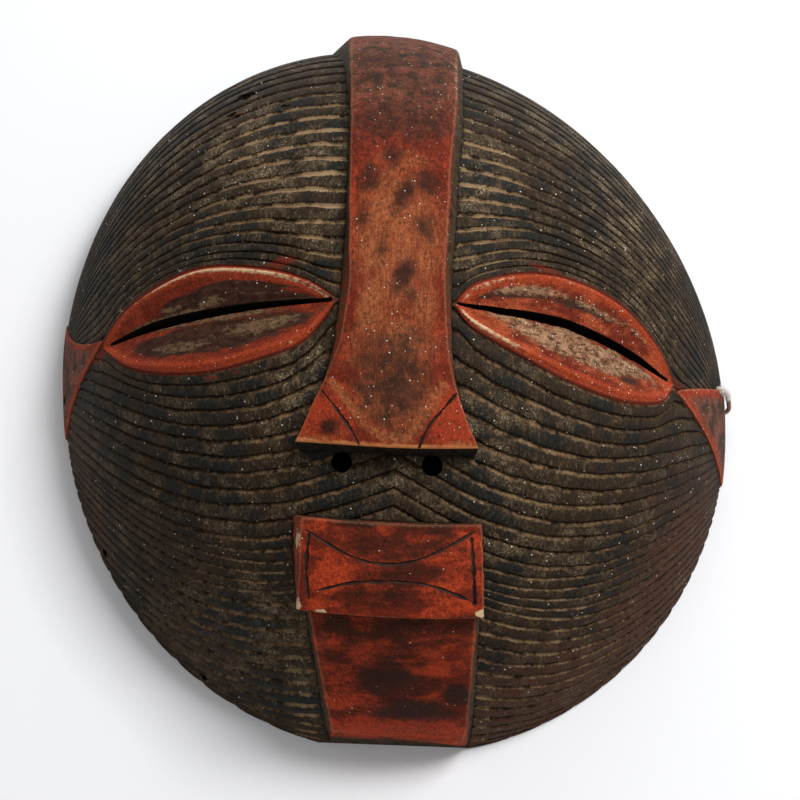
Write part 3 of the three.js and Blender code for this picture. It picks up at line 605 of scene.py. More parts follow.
# Soft ellipses in millimetres: dark patina, wood worn to orange, fresh red and pale bare edges
NOSE_WEAR = {
    "patina": [(4, 140, 40, 44, 0, 0.45), (4, 94, 40, 22, 0, 0.68), (0.8, 69.5, 6, 8, 0, 0.9),
               (17.8, 53.2, 8, 12, 0, 0.8), (-10.9, 54.9, 7, 11, 0, 0.75), (5.2, 44.8, 5.5, 14, -20, 0.95),
               (-14.1, 33.1, 4.5, 9, 0, 0.7), (16.2, 27.8, 8, 11, 0, 0.7), (-4.4, 15.6, 4, 10, -10, 0.65),
               (5.1, 0.7, 6, 13, -25, 0.9), (9.4, -11.7, 4.3, 6.2, 0, 0.75),
               (13.2, -30.1, 3.8, 5.9, 0, 0.7), (5.1, -39.9, 6.6, 14.6, 0, 0.8),
               (-0.1, -52, 22, 30, 0, 0.8), (-0.1, -62, 20, 15, 0, 0.6), (-29.8, -73.4, 5.5, 4, 0, 1.2),
               (-2, 100, 14, 12, 0, 0.75), (14, 118, 12, 10, 0, 0.65)],
    "worn": [(3, 22, 24, 44, 0, 1), (-9, -20, 9, 28, 0, 1), (15, -12, 8, 22, 0, 0.85),
             (4, 66, 20, 10, 0, 0.6), (-34, -78.4, 13, 1.7, 2, 1.2), (32.4, -81.5, 8, 1.9, -3, 1.2),
             (0, -60, 22, 20, 0, 0.85), (0, -36, 24, 20, 0, 0.9)],
    "bright": [(-3.8, 128.6, 6, 11.6, 0, 0.8), (3.2, 81.6, 3, 5.6, 0, 0.8), (26.5, 83.5, 2, 9, 0, 0.9),
               (-19.7, 101.7, 1.5, 16, 0, 0.8), (-19, 35.6, 1.5, 24, 0, 0.8), (-1, -27, 3, 4, 0, 1),
               (-34, -70, 14, 14, 0, 1.3), (30, -71, 12, 14, 0, 1.3)],
    "cream": [(-22, 150, 1.1, 40, 0, 0.5), (32.5, 140, 1.1, 50, 0, 0.55), (32, 80, 0.8, 30, 0, 0.4)],
    "dusty": [(5, 150, 60, 84, 0, 1)],
    "flank_red": [(-25, -40, 16, 46, 0, 1), (26, -40, 10, 40, 0, 0.6)],
}
NOSE_WORN_LINE = [(-28.9, -51.7), (-22.3, -60.4), (-14.2, -71.1), (-5.7, -78.4), (7.5, -78.8),
                  (12.6, -72.6), (19.3, -62), (25.4, -53.4)]
WORN_LINE_WIDTH = 1.9
TIP_STRIP = 2.4  # how far the worn wood reaches up from the nose's lower edge
MOUTH_WEAR = {
    "patina": [(-14.7, -113.4, 12, 3, 0, 0.9), (6, -135, 20, 9.5, 0, 0.7), (0, -124, 34, 14, 0, 0.55),
               (22, -120, 12, 8, 0, 0.6), (-2, -146, 30, 5, 0, 0.6)],
    "bright": [(-37.6, -112.9, 4.5, 3.6, 0, 1), (-2.9, -115.7, 3.8, 2.5, 0, 0.9),
               (-29.4, -133.9, 8, 5.4, 0, 1), (29.3, -138.3, 6, 5, 0, 1), (-36, -147, 8, 3, 0, 0.7),
               (30, -148, 10, 2.4, 0, 0.7)],
    "cream": [(-33.9, -151.1, 2.6, 2, 0, 1.6), (42.2, -150.8, 2.4, 2, 0, 1.6),
              (-44.8, -118.1, 2.2, 8.2, 0, 0.7), (-45.4, -146, 2, 4, 0, 0.9),
              (41.5, -125, 0.9, 30, 0, 0.5), (-42.2, -130, 0.8, 26, 0, 0.45)],
    "flank_red": [(-45, -130, 6, 30, 0, 1.3)],
}
CHIN_WEAR = {
    "patina": [(0, -166, 44, 22, 0, 0.5), (-25.8, -154, 8, 4, 0, 0.85), (-4.5, -173.7, 17, 6.5, 0, 1.1),
               (32.3, -179.8, 7, 3.5, 0, 1.1), (8.1, -185.5, 22, 3.4, 0, 1.1), (6, -155, 26, 4, 0, 0.75)],
    "bright": [(17.6, -170.1, 8, 4.6, 0, 1.1), (-17.9, -166.1, 6, 2.4, 0, 1),
               (-24, -181.8, 5.4, 2.2, 0, 1), (18.7, -180.3, 4.4, 1.9, 0, 1),
               (-3.1, -185.4, 7, 1.5, 0, 0.8), (2.7, -192, 40, 3.4, 0, 1), (-26, -160, 4, 5, 0, 0.7),
               (28, -162, 5, 3, 0, 0.6)],
    "cream": [(37, -165, 1, 30, -3, 0.6)],
    "dusty": [(-33, -170, 4, 30, 0, 0.7)],
}
CHIN_CUT = [(-36, -188.9), (44, -192)]  # the chin is sawn off straight


def crowned(proud, t):
    """A band's height at a share of the way across it."""
    return proud + CROWNING * (1 - (2 * t - 1) ** 2)


def eased(rows, along):
    """Each value of a band's rows at the places along it, without a kink at each row."""
    rows = np.array(rows)[::-1]
    spread = 0.02 * np.minimum(1, np.minimum(along - rows[0, 0], rows[-1, 0] - along) / 0.02)
    value = [np.mean([np.interp(along + spread * t, rows[:, 0], rows[:, k]) for t in (-1, 0, 0, 1)], 0)
             for k in range(1, rows.shape[1])]
    return np.stack(value, -1)


def loft(name, sections, finish, readings=None, last=None):
    """A closed mesh through like rings of points, sections[station, point]."""
    stations, size = sections.shape[:2]
    place = np.arange(stations * size).reshape(stations, size)
    ahead = np.roll(place, -1, 1)
    quads = np.stack([place[:-1], ahead[:-1], ahead[1:], place[1:]], -1).reshape(-1, 4)
    ends = [list(place[0][::-1]), list(place[-1])]
    readings = {k: np.broadcast_to(v, (stations, size)).ravel() for k, v in (readings or {}).items()}
    finishes = [*[finish] * (len(quads) + 1), finish if last is None else last]
    thing = piece(name, sections.reshape(-1, 3), [*quads, *ends], finishes, readings)
    form = bmesh.new()
    form.from_mesh(thing.data)
    caps = [f for f in form.faces if len(f.verts) > 4]
    bmesh.ops.triangulate(form, faces=caps, quad_method="BEAUTY", ngon_method="BEAUTY")
    form.to_mesh(thing.data)
    form.free()
    return clean(thing)


def flank_of(edge, side, foot, proud):
    """A band's flank and rounded edge from its root up: [x, height, distance in from the edge] each."""
    r = EDGE_ROUND
    found = []
    for level in (-ROOT, -ROOT / 2, -0.4, 0.25, 0.5, 0.75):
        height = np.where(level < 0, level, level * (proud - r))
        found.append((edge + side * foot * (1 - height / proud), height, height - proud))
    lean = foot * r / proud
    found.append((edge + side * lean, proud - r, -r + 0 * proud))
    found.append((edge + side * (0.45 * lean - 0.2 * r), proud - 0.42 * r, -0.4 * r + 0 * proud))
    return found


def band(name, rows, wear, round_start, square_end, across):
    """A raised band with a crowned top, rounded edges and leaning flanks."""
    first, last = rows[0][0], rows[-1][0]
    steps = np.arange(first, last, -BAND_STEP).tolist() + [last + d for d in (*END_STEPS, 0)]
    if round_start:
        steps += [first - d for d in END_STEPS]
    along = np.array(sorted(set(steps), reverse=True))
    left, right, proud, foot_left, foot_right = eased(rows, along).T
    start_gap = (first - along) * BOWL_RUN if round_start else np.full(along.shape, 99.0)
    end_gap = (along - last) * BOWL_RUN
    nearest = np.minimum(start_gap, end_gap)
    drop = EDGE_ROUND * (1 - np.sqrt(1 - np.clip(1 - nearest / EDGE_ROUND, 0, 1) ** 2))
    proud = proud - 0.8 * drop
    share = (along - along[-1]) / (along[0] - along[-1])
    left = left + 0.3 * waver(len(name) + 3, [4, 9, 15, 26])(share)
    right = right + 0.3 * waver(len(name) + 5, [4, 9, 15, 26])(share)
    section = flank_of(left, -1, foot_left, proud)
    for k in range(across + 1):
        t = k / across
        x = mix(left + 0.62 * EDGE_ROUND, right - 0.62 * EDGE_ROUND, t)
        soft = 0.14 * EDGE_ROUND * (k in (0, across))
        dent = 0.16 * waver(len(name) * 31 + k // 3, [5, 11, 19])(share)
        section.append((x, crowned(proud, t) - soft + dent, np.minimum(x - left, right - x)))
    section += flank_of(right, 1, foot_right, proud)[::-1]
    x, height, edge = (np.stack(values, -1) for values in zip(*section))
    points = on_face(across_at(x, along[:, None]), height)
    if square_end:
        low = height[-1] < proud[-1] - 1.01 * EDGE_ROUND
        top = points[-1, ~low, :2]
        top = top[np.argsort(top[:, 0])]
        points[-1, low, 1] = np.interp(points[-1, low, 0], top[:, 0], top[:, 1])
        points[-1, low, 2] = bowl(unroll(points[-1, low, :2]))[:, 2] + height[-1][low]
    edge = np.where(edge > 0, np.minimum(edge, nearest[:, None] + 0.3), edge)
    readings = {k: blots(points[..., 0], points[..., 1], places) for k, places in wear.items()}
    if name == "nose":
        strip = along_stroke(points[..., 0], points[..., 1], NOSE_WORN_LINE, WORN_LINE_WIDTH)
        readings["worn"] = np.maximum(readings["worn"], 1.2 * strip)
        readings["patina"] = readings["patina"] * (1 - strip)
        readings["strip"] = np.exp(-((end_gap[:, None] / TIP_STRIP) ** 2)) + 0 * strip
    readings["band_edge"] = edge
    # A square end, the nose's underside, takes the painted shade finish
    return loft(name, points, RED, readings, SHADE if square_end else None)


def temple_triangle(eye):
    """The flat red triangle from the eye's outer corner to the rim."""
    share = np.linspace(0.02, 1.2, 40)
    across = 12
    run = mix(eye["apex"], 1, share)[:, None]
    edges = [(0, -ROOT), (0, -ROOT / 3), (0, 0.8 * TRIANGLE_PROUD)]
    top = [(k / across, TRIANGLE_PROUD - 0.25 * math.sin(math.pi * k / across)) for k in range(across + 1)]
    ring = edges + [(0.02 + 0.96 * t, h) for t, h in top] + [(1, h) for _, h in edges[::-1]]
    low = mix(eye["middle"], eye["foot"], share ** eye["foot_sweep"])
    high = mix(eye["middle"], eye["top"], share ** eye["top_sweep"])
    points = np.stack([on_face(rim_place(eye, mix(low, high, t)) * run, h + 0 * share) for t, h in ring], 1)
    span = np.radians(eye["top"] - eye["foot"]) * share[:, None] * HALF_WIDTH
    inward = np.array([t for t, _ in ring])
    edge = np.minimum(inward, 1 - inward) * span
    centre = blots(share[:, None], inward, [(0.72, 0.56, 0.36, 0.3, 0, 0.75)])
    low_strip = np.exp(-((inward * span / 3.4) ** 2))
    top_strip = np.exp(-(((1 - inward) * span / 4) ** 2))
    middling = 1 - np.maximum(low_strip, 0.9 * top_strip)
    return loft("triangle", points, RED, {"band_edge": edge, "patina": 0.4 * centre, "dusty": middling,
                                          "bright": 1.5 * (1 - middling)})


nose = band("nose", NOSE, NOSE_WEAR, round_start=False, square_end=True, across=30)
mouth = band("mouth", MOUTH, MOUTH_WEAR, round_start=True, square_end=False, across=36)
chin = band("chin", CHIN, CHIN_WEAR, round_start=False, square_end=False, across=30)
triangles = [temple_triangle(LEFT), temple_triangle(RIGHT)]

# Every form is joined to the block. The sources of each finish's readings are kept as they were before,
# so that the new points along each seam can read their values from them.
def source_of(things):
    """A picture of some meshes that gives their readings at any place on them."""
    vertices, polygons, values = [], [], {k: [] for k in READINGS}
    for thing in things:
        shift = len(vertices)
        vertices += [v.co.copy() for v in thing.data.vertices]
        polygons += [[i + shift for i in p.vertices] for p in thing.data.polygons]
        for k in READINGS:
            values[k] += [a.value for a in thing.data.attributes[k].data]
    return BVHTree.FromPolygons(vertices, polygons), vertices, polygons, values


face_source = source_of([face])
band_source = source_of([nose, mouth, chin, *triangles])
for form in (nose, chin, mouth, *triangles):
    carve(face, form, "UNION")

# The cuts: the hollow that takes the face, worked with a curved adze, the table-flat rim with its low
# arches at the temples, the eye slits, the nostrils, the rim's tie holes and lines scored in the red.
NOSTRIL_ACROSS = 10
NOSTRIL_PLACES = [(-24, -85), (19, -87)]
NOSTRIL_RISE = math.radians(24)
RIM_HOLE_ACROSS = 5
RIM_HOLES = [(-170, -9), (-147, -92), (-95, -157), (168.3, -6)]
NOSE_LINES = [[(-32, -0.204), (-26, -0.229), (-20.5, -0.255), (-15.5, -0.284), (-13.5, -0.3)],
              [(29.5, -0.2), (22.5, -0.23), (17, -0.253), (13, -0.281), (11.5, -0.3)]]
MOUTH_SIDES = [[(-38, -0.45), (-38.5, -0.51), (-37, -0.567)], [(36.5, -0.445), (37, -0.5), (37, -0.565)]]
MOUTH_CURVES = [[(-40.5, -0.444), (-20, -0.482), (-6, -0.494), (8, -0.489), (24, -0.465), (39, -0.434)],
                [(-35, -0.551), (-19, -0.531), (-4, -0.524), (12, -0.525), (24, -0.537), (35, -0.555)]]
LINE_WIDTH = 2
LINE_DEPTH = 0.9
BEYOND = 400.0  # farther than any side of the block
ARCH_HALF = 52
ARCH_RISE = 6
ARCH_MIDDLE = -4
PIT_PLACES = [(-78, 135.5, 3), (-74, 136.5, 2.5), (-80.5, 133, 2.2), (-75.5, 132, 2.1), (-71.5, 134, 1.7),
              (-82.5, 119.5, 2.3), (-80.5, 117, 1.7), (-55.5, 117, 1.4), (-52.8, 116.4, 1.1)]


def hollow():
    rings, around, run_end = 52, 128, 1.08
    run = run_end * np.arange(1, rings + 1)[:, None] / rings
    bearing = 2 * math.pi * np.arange(around) / around
    at = np.stack([run * np.cos(bearing), run * np.sin(bearing)], -1)
    # Adze strokes run down the bowl in overlapping scoops
    lane = (bearing * 9 + 0.9 * np.sin(7 * run)) % (2 * math.pi)
    stroke = (run * 11 + 2.2 * np.sin(bearing * 9)) % 1
    scoop = 0.55 * np.abs(np.sin(lane / 2)) * smooth(run, 0.05, 0.3) + 0.35 * stroke * smooth(run, 0.1, 0.3)
    spread = bowl(at, WALL - 0.4 + scoop * (run < 1))
    floor = bowl(np.array([run_end, 0.0]), WALL)[2]
    points = np.vstack([bowl(np.zeros(2), WALL), spread.reshape(-1, 3), [*OVAL_CENTRE, floor]])
    place = 1 + np.arange(rings * around).reshape(rings, around)
    ahead = np.roll(place, -1, 1)
    quads = np.stack([place[:-1], place[1:], ahead[1:], ahead[:-1]], -1).reshape(-1, 4)
    top = np.stack([np.zeros(around, int), place[0], ahead[0]], -1)
    foot = np.stack([np.full(around, len(points) - 1), ahead[-1], place[-1]], -1)
    return clean(piece("hollow", points, [*quads, *top, *foot], BARE))


def bore(place, direction, across):
    """A round hole bored right through the wall at a place, along a direction."""
    sides, length = 20, 39
    aside = np.cross(direction, [0, 1, 0] if abs(direction[1]) < 0.9 else [1, 0, 0])
    aside /= np.linalg.norm(aside)
    up = np.cross(direction, aside)
    turn = 2 * math.pi * np.arange(sides) / sides
    ring = (np.cos(turn)[:, None] * aside + np.sin(turn)[:, None] * up) * across / 2
    sections = np.stack([place + ring - direction * length, place + ring + direction * length])
    return loft("bore", sections, SHADE)


def eye_slit(eye):
    share = np.linspace(0, 1, 70)
    tear = waver(eye["seed"] + 2, [9, 17, 31, 47])(share) * eye["torn"] * np.sin(math.pi * share)
    top = along_curve(eye["slit_top"], share) + np.stack([0 * share, 0.2 * tear[::-1]], -1)
    foot = along_curve(eye["slit_foot"], share) + np.stack([0 * share, np.minimum(tear, 0.4)], -1)
    above, below = unroll(top), unroll(foot)
    ends = [(below, -2 * WALL), (below, WALL), (above, WALL), (above, -2 * WALL)]
    return loft("slit", np.stack([on_face(line, end + 0 * share) for line, end in ends], 1), SHADE)


def scored(rows, points, seed, force=1.0):
    """A V-shaped line scored in a band's top face."""
    share = np.linspace(0, 1, 40)
    place = along_curve(points, share)
    left, right, proud, _, _ = eased(rows, place[:, 1]).T
    t = (place[:, 0] - left) / (right - left)
    at = across_at(place[:, 0], place[:, 1])
    middle = on_face(at, crowned(proud, t))
    up = outward(at)
    ahead = np.gradient(middle, axis=0)
    aside = np.cross(ahead, up)
    aside /= np.linalg.norm(aside, axis=-1, keepdims=True)
    press = force * (0.8 + 0.3 * waver(seed, [2, 5, 9])(share))
    press = (press * np.minimum(1, 0.25 + 4 * np.sin(math.pi * share)))[:, None]
    over = 1.5
    wide = aside * LINE_WIDTH / 2 * press * (1 + over / LINE_DEPTH)
    ring = [middle - wide + up * over, middle + wide + up * over, middle - up * LINE_DEPTH * press]
    return loft("scored_line", np.stack(ring, 1), SCORE)


def across_block(name, reach, y, z):
    """A closed form with one outline [y, z] from side to side of the block."""
    sections = np.stack([np.stack([np.full(y.shape, x), y, z], -1) for x in (-reach, reach)])
    return loft(name, sections, BARE)


def rim_arch():
    share = np.linspace(0, 1, 41)
    y = np.concatenate([mix(-ARCH_HALF, ARCH_HALF, share), [ARCH_HALF, -ARCH_HALF]]) + ARCH_MIDDLE
    z = np.concatenate([ARCH_RISE * np.sin(math.pi * share) ** 2, [-20, -20]])
    return across_block("arch", 1.5 * HALF_WIDTH, y, z)


def below_table():
    y, z = BEYOND * np.array([[-1, -1, 1, 1], [-1, 0, 0, -1]])
    return across_block("below", BEYOND, y, z)


def beyond_chin():
    (x0, y0), (x1, y1) = CHIN_CUT
    run = np.array([x1 - x0, y1 - y0]) / math.hypot(x1 - x0, y1 - y0)
    middle = np.array([x0 + x1, y0 + y1]) / 2
    aside = 300 * run
    out = 300 * np.array([run[1], -run[0]])
    corners = [middle - aside, middle + aside, middle + aside + out, middle - aside + out]
    sections = np.array([[(*corner, z) for corner in corners] for z in (-200, 200)])
    return loft("beyond_chin", sections, RED)


def pit(x, y, size, seed):
    form = bmesh.new()
    bmesh.ops.create_icosphere(form, subdivisions=3, radius=size)
    chance = np.random.default_rng(seed)
    ways = chance.normal(size=(8, 3))
    spot = on_face(unroll([x, y]), -0.15 * size)
    points = []
    for vertex in form.verts:
        bump = sum(math.sin(3.1 / size * vertex.co.dot(Vector(way)) + k) for k, way in enumerate(ways)) / 8
        points.append(np.array(vertex.co) * (1 + 0.55 * bump) * [1.3, 0.9, 0.8] + spot)
    faces = [[v.index for v in f.verts] for f in form.faces]
    form.free()
    return clean(piece("pit", points, faces, SHADE))


for cut in (below_table, beyond_chin, hollow, rim_arch):
    carve(face, cut(), "DIFFERENCE")
tools = [eye_slit(LEFT), eye_slit(RIGHT)]
for place in unroll(NOSTRIL_PLACES):
    inward = np.array([0, math.sin(NOSTRIL_RISE), -math.cos(NOSTRIL_RISE)])
    tools.append(bore(bowl(place), inward, NOSTRIL_ACROSS))
for place in unroll(RIM_HOLES):
    tools.append(bore(bowl(place), outward(place), RIM_HOLE_ACROSS))
carve(face, joined(tools), "DIFFERENCE")
lines = [scored(NOSE, line, 3 + k) for k, line in enumerate(NOSE_LINES)]
lines += [scored(MOUTH, line, 5 + k, 1.2) for k, line in enumerate(MOUTH_SIDES)]
carve(face, joined(lines), "DIFFERENCE")
carve(face, joined([scored(MOUTH, line, 7 + k) for k, line in enumerate(MOUTH_CURVES)]), "DIFFERENCE")
for k, (x, y, size) in enumerate(PIT_PLACES):
    carve(face, pit(x, y, size, 40 + k), "DIFFERENCE")

mesh = face.data
mesh.name = face.name = "carved_mask"
made = np.zeros(len(mesh.vertices), np.float32)
mesh.attributes["made"].data.foreach_get("value", made)
fresh = np.nonzero(made < 0.5)[0]  # new points along the seams, which have no readings yet
for (tree, vertices, polygons, values), keys in ((face_source, FACE_READINGS), (band_source, BAND_READINGS)):
    for index in fresh:
        spot, _, polygon, _ = tree.find_nearest(mesh.vertices[index].co)
        corners = polygons[polygon]
        weights = poly_3d_calc([vertices[i] for i in corners], spot)
        for key in keys:
            level = sum(w * values[key][i] for w, i in zip(weights, corners))
            mesh.attributes[key].data[index].value = level
band_tree = band_source[0]
FAR_FROM_BAND = 0.02
# How far each point lies from the bands, in mm, which sets the painted shade in the crease along their feet
near = [(band_tree.find_nearest(v.co, FAR_FROM_BAND)[3] or FAR_FROM_BAND) / MM for v in mesh.vertices]
mesh.attributes["near_band"].data.foreach_set("value", near)
mesh.shade_smooth()
mesh.set_sharp_from_angle(angle=math.radians(38))


# The paint. Soot black lies on the ridges, and the tool has cut through it to brown wood that now holds pale
# dust. Red ochre covers the bands, rubbed to orange wood on the nose and darkened by handling. Painted shade
# darkens one wall of each cut, the feet of the bands, and the slits and holes.
class Value:
    """What a node gives at one output, so that masks and readings can be added and multiplied plainly."""

    def __init__(self, node, output=0):
        self.node, self.output = node, output

    def __getitem__(self, output):
        return Value(self.node, output)

    def __add__(self, other):
        return calculate("ADD", self, other)

    def __sub__(self, other):
        return calculate("SUBTRACT", self, other)

    def __mul__(self, other):
        return calculate("MULTIPLY", self, other)

    def __truediv__(self, other):
        return calculate("DIVIDE", self, other)

    def __lt__(self, other):
        return calculate("LESS_THAN", self, other)


def node(kind, inputs=None, **settings):
    """Adds a node to the tree in hand, with each input linked or given its value."""
    made = tree.nodes.new(kind if "Node" in kind else "ShaderNode" + kind)
    for name, value in settings.items():
        setattr(made, name, value)
    for socket, value in (inputs or {}).items():
        if isinstance(value, Value):
            tree.links.new(value.node.outputs[value.output], made.inputs[socket])
        else:
            made.inputs[socket].default_value = value
    return Value(made)


def calculate(operation, *values):
    return node("Math", dict(enumerate(values)), operation=operation)


def times_vector(a, b):
    return node("VectorMath", {0: a, 1: b}, operation="MULTIPLY")


def group(name, inputs, output, kind="Shader"):
    """An empty node group with its inputs, each [name, kind, value if any], and one output."""
    made = bpy.data.node_groups.new(name, kind + "NodeTree")
    for way, sockets in (("INPUT", inputs), ("OUTPUT", [output])):
        for socket, form, *value in sockets:
            new = made.interface.new_socket(socket, in_out=way, socket_type="NodeSocket" + form)
            if value:
                new.default_value = value[0]
    return made


def ramp(value, low, high, start=0.0, end=1.0):
    return node("MapRange", {"Value": value, "From Min": low, "From Max": high, "To Min": start,
                             "To Max": end}, interpolation_type="SMOOTHSTEP")


def blend(share, a, b, kind="MIX"):
    return node("Mix", {0: share, 6: a, 7: b}, data_type="RGBA", blend_type=kind)[2]


def coats(colour, layers):
    """A colour under layers, each [mask, colour], or with its own way of mixing as a third."""
    for share, paint, *kind in layers:
        colour = blend(share, colour, paint, *kind)
    return colour


def reading(name):
    return node("Attribute", attribute_name=name)["Fac"]


def noise(scale, detail=4.0):
    return node("TexNoise", {"Vector": place, "Scale": scale, "Detail": detail})


def swing(value, amount):
    """A noise turned about zero, and as strong as the amount."""
    return (value - 0.5) * amount


# Fibres that run up and down the block: long streaks along Y
tree = FIBRES = group("long_fibres", [("Place", "Vector"), ("Fineness", "Float", 900.0),
                                      ("Length", "Float", 14.0)], ("Streak", "Float"))
given = node("NodeGroupInput")
fineness = given["Fineness"]
scale = node("CombineXYZ", {"X": fineness, "Y": fineness / given["Length"], "Z": fineness})
stretched = times_vector(given["Place"], scale)
streaks = node("TexNoise", {"Vector": stretched, "Scale": 1.0, "Detail": 4.0, "Roughness": 0.6})
node("NodeGroupOutput", {"Streak": streaks})

# Ragged patches that grow where Amount is high
tree = RAGGED = group("ragged_patch", [("Place", "Vector"), ("Amount", "Float", 0.5),
                                       ("Fineness", "Float", 200.0), ("Edge", "Float", 0.12),
                                       ("Stretch", "Vector", (1, 1, 1))], ("Mask", "Float"))
given = node("NodeGroupInput")
drawn = times_vector(given["Place"], given["Stretch"])
spread = node("TexNoise", {"Vector": drawn, "Scale": given["Fineness"], "Detail": 6.0, "Roughness": 0.65})
level = spread + given["Amount"] - 1.0
patch = node("MapRange", {"Value": level, "From Min": given["Edge"] * -1.0, "From Max": given["Edge"]},
             interpolation_type="SMOOTHSTEP")
node("NodeGroupOutput", {"Mask": patch})

# Small specks of lime dust, in a few cells of a random pattern
tree = SPECKS = group("lime_specks", [("Place", "Vector"), ("Amount", "Float", 0.06),
                                      ("Fineness", "Float", 420.0), ("Size", "Float", 0.22)],
                      ("Mask", "Float"))
given = node("NodeGroupInput")
cells = node("TexVoronoi", {"Vector": given["Place"], "Scale": given["Fineness"], "Randomness": 1.0})
lot = node("SeparateColor", {"Color": cells["Color"]})
dot = cells["Distance"] < lot["Green"] * given["Size"]
node("NodeGroupOutput", {"Mask": (lot["Red"] < given["Amount"]) * dot})


def fibres(fineness, length):
    return node("Group", {"Place": place, "Fineness": fineness, "Length": length}, node_tree=FIBRES)


def patches(amount, fineness, edge, stretch=(1, 1, 1)):
    return node("Group", {"Place": place, "Amount": amount, "Fineness": fineness, "Edge": edge,
                          "Stretch": stretch}, node_tree=RAGGED)


def specks(amount, fineness, size):
    return node("Group", {"Place": place, "Amount": amount, "Fineness": fineness, "Size": size},
                node_tree=SPECKS)


def start(name, roughness, gloss):
    """Takes a finish in hand: its tree, its shader and the place on the piece."""
    global tree, shader, place
    material = bpy.data.materials[name]
    material.use_nodes = True
    tree = material.node_tree
    shader = tree.nodes["Principled BSDF"]
    shader.inputs["Roughness"].default_value = roughness
    shader.inputs["Specular IOR Level"].default_value = gloss
    place = node("TexCoord")["Object"]


def dress(colour, relief, distance, roughness=None):
    """Gives the shader in hand its colour, its fine relief and, where it changes, its roughness."""
    bump = node("Bump", {"Height": relief, "Distance": distance, "Strength": 1.0})
    for socket, value in (("Base Color", colour), ("Normal", bump), ("Roughness", roughness)):
        if value:
            tree.links.new(value.node.outputs[value.output], shader.inputs[socket])


LIME = (0.55, 0.5, 0.42, 1)
BROWN_BLACK = (0.027, 0.016, 0.008, 1)
SCRAPED = (0.072, 0.05, 0.028, 1)
OCHRE = (0.135, 0.0175, 0.0075, 1)
OCHRE_BRIGHT = (0.3, 0.037, 0.013, 1)
PATINA = (0.021, 0.0095, 0.0058, 1)
CREAM = (0.56, 0.4, 0.23, 1)
GREY_TAN = (0.4, 0.24, 0.13, 1)

# Soot black ridges, scraped and rubbed in places, with the cut lines between them: pale dust on the wall of
# each cut that faces the crown, and painted shade on its other wall
BLUE_BLACK = (0.0125, 0.0125, 0.0105, 1)
WARM_BROWN = (0.06, 0.0225, 0.0125, 1)
RUBBED = (0.19, 0.14, 0.085, 1)
PAINTED_CUT_SHADE = (0.009, 0.0055, 0.003, 1)
CUT_BROWN = (0.092, 0.047, 0.019, 1)
CUT_TAN = (0.32, 0.215, 0.115, 1)
RUST = (0.06, 0.029, 0.012, 1)
start("blackened_ridges", 0.7, 0.1)
streak = fibres(900.0, 5.0)
broad, middling, fine = noise(26.0), noise(85.0), noise(800.0, 5.0)
pale = reading("pale") * 0.12
dust = reading("dust") * ramp(noise(130.0), 0.32, 0.6, 0.3, 1)
scraped = pale + ramp(middling, 0.35, 0.65, 0.24, 0.46) + swing(streak, 0.5)
rubbed = pale + ramp(middling, 0.4, 0.7, 0.24, 0.4)
rough = ramp(noise(1500.0, 3.0), 0.3, 0.7, 0.55, 1.45) * ramp(streak, 0.35, 0.65, 0.65, 1.3)
jitter = swing(fine, 2.0)
# Where the wall reading is low, the cut's wall away from the lamps takes painted shade; the other wall takes
# the dust
lit_wall = ramp(reading("wall") + dust * 0.6 + jitter * 0.7, -0.45, 0.2)
grit = patches(ramp(dust, 0, 1, 0.46, 0.8), 420.0, 0.16)
powder = blend(dust, CUT_BROWN, CUT_TAN)
cut_dust_and_shade = blend(lit_wall * grit * ramp(dust, 0, 0.5, 0.75, 1), PAINTED_CUT_SHADE, powder)
colour = coats(BLUE_BLACK, [
    (ramp(broad + swing(middling, 0.8), 0.34, 0.54), BROWN_BLACK),
    (patches(reading("warm") * 0.66, 60.0, 0.2), WARM_BROWN),
    (patches(scraped, 420.0, 0.2, (1, 0.5, 1)) * 0.85, SCRAPED),
    (patches(rubbed, 1000.0, 0.1), RUBBED),
    (1.0, rough, "MULTIPLY"),
    (ramp(reading("groove") + jitter, 1.25, 0.7), cut_dust_and_shade),
    (ramp(reading("smear") + swing(fine, 1.2), 0.3, 1.0, 0, 0.9), OCHRE),
    # Painted shade in the crease along the feet of the bands
    (ramp(reading("near_band") + jitter, 1.1, 0.2), PAINTED_CUT_SHADE),
    (ramp(reading("rot") + jitter, 0.3, 0.9), RUST),
    (specks(0.035, 820.0, 0.36), LIME),
])
dress(colour, streak + fine * 0.6, 0.0004, ramp(streak, 0.3, 0.7, 0.55, 0.8))

# Red ochre on the bands: orange wood where the nose is rubbed, dusty at its top, charred on the chin
CHIN_BRIGHT = (0.4, 0.046, 0.014, 1)
CHIN_DARK = (0.036, 0.0105, 0.006, 1)
DUSTY_RED = (0.19, 0.06, 0.034, 1)
GREEN_GREY = (0.034, 0.026, 0.017, 1)
WORN_RED = (0.19, 0.042, 0.0165, 1)
ORANGE_WOOD = (0.33, 0.098, 0.034, 1)
STRIP_WOOD = (0.46, 0.165, 0.055, 1)
start("red_ochre", 0.62, 0.06)
streak = fibres(1100.0, 9.0)
broad, soft, fine = noise(48.0), noise(190.0, 3.0), noise(750.0, 5.0)
edge, dusty, patina = reading("band_edge"), reading("dusty"), reading("patina")
lower = ramp(node("SeparateXYZ", {"Vector": place})["Y"], -0.085, -0.1)
bright = reading("bright") * 0.34 + ramp(broad, 0.35, 0.65, 0.28, 0.5)
charred = patches(patina * 0.3 + 0.38, 75.0, 0.13, (0.4, 1.3, 1))
worn = reading("worn") + (swing(streak, 0.5) + swing(soft, 0.5))
orange = blend(ramp(broad + swing(streak, 0.7), 0.3, 0.65), WORN_RED, ORANGE_WOOD)
dark = ramp(patina + swing(soft, 1.0), 0.15, 1.0, 0, 0.92)
tired = patches(swing(broad, 0.6) + 0.44, 620.0, 0.14, (1, 0.6, 1))
rub = edge + swing(fine, 3.0)
rim = ramp(rub, -1.2, 0.1) * ramp(rub, 1.2, 0.3)
flank = coats(BROWN_BLACK, [(reading("flank_red"), OCHRE_BRIGHT), (patches(0.5, 240.0, 0.16), SCRAPED)])
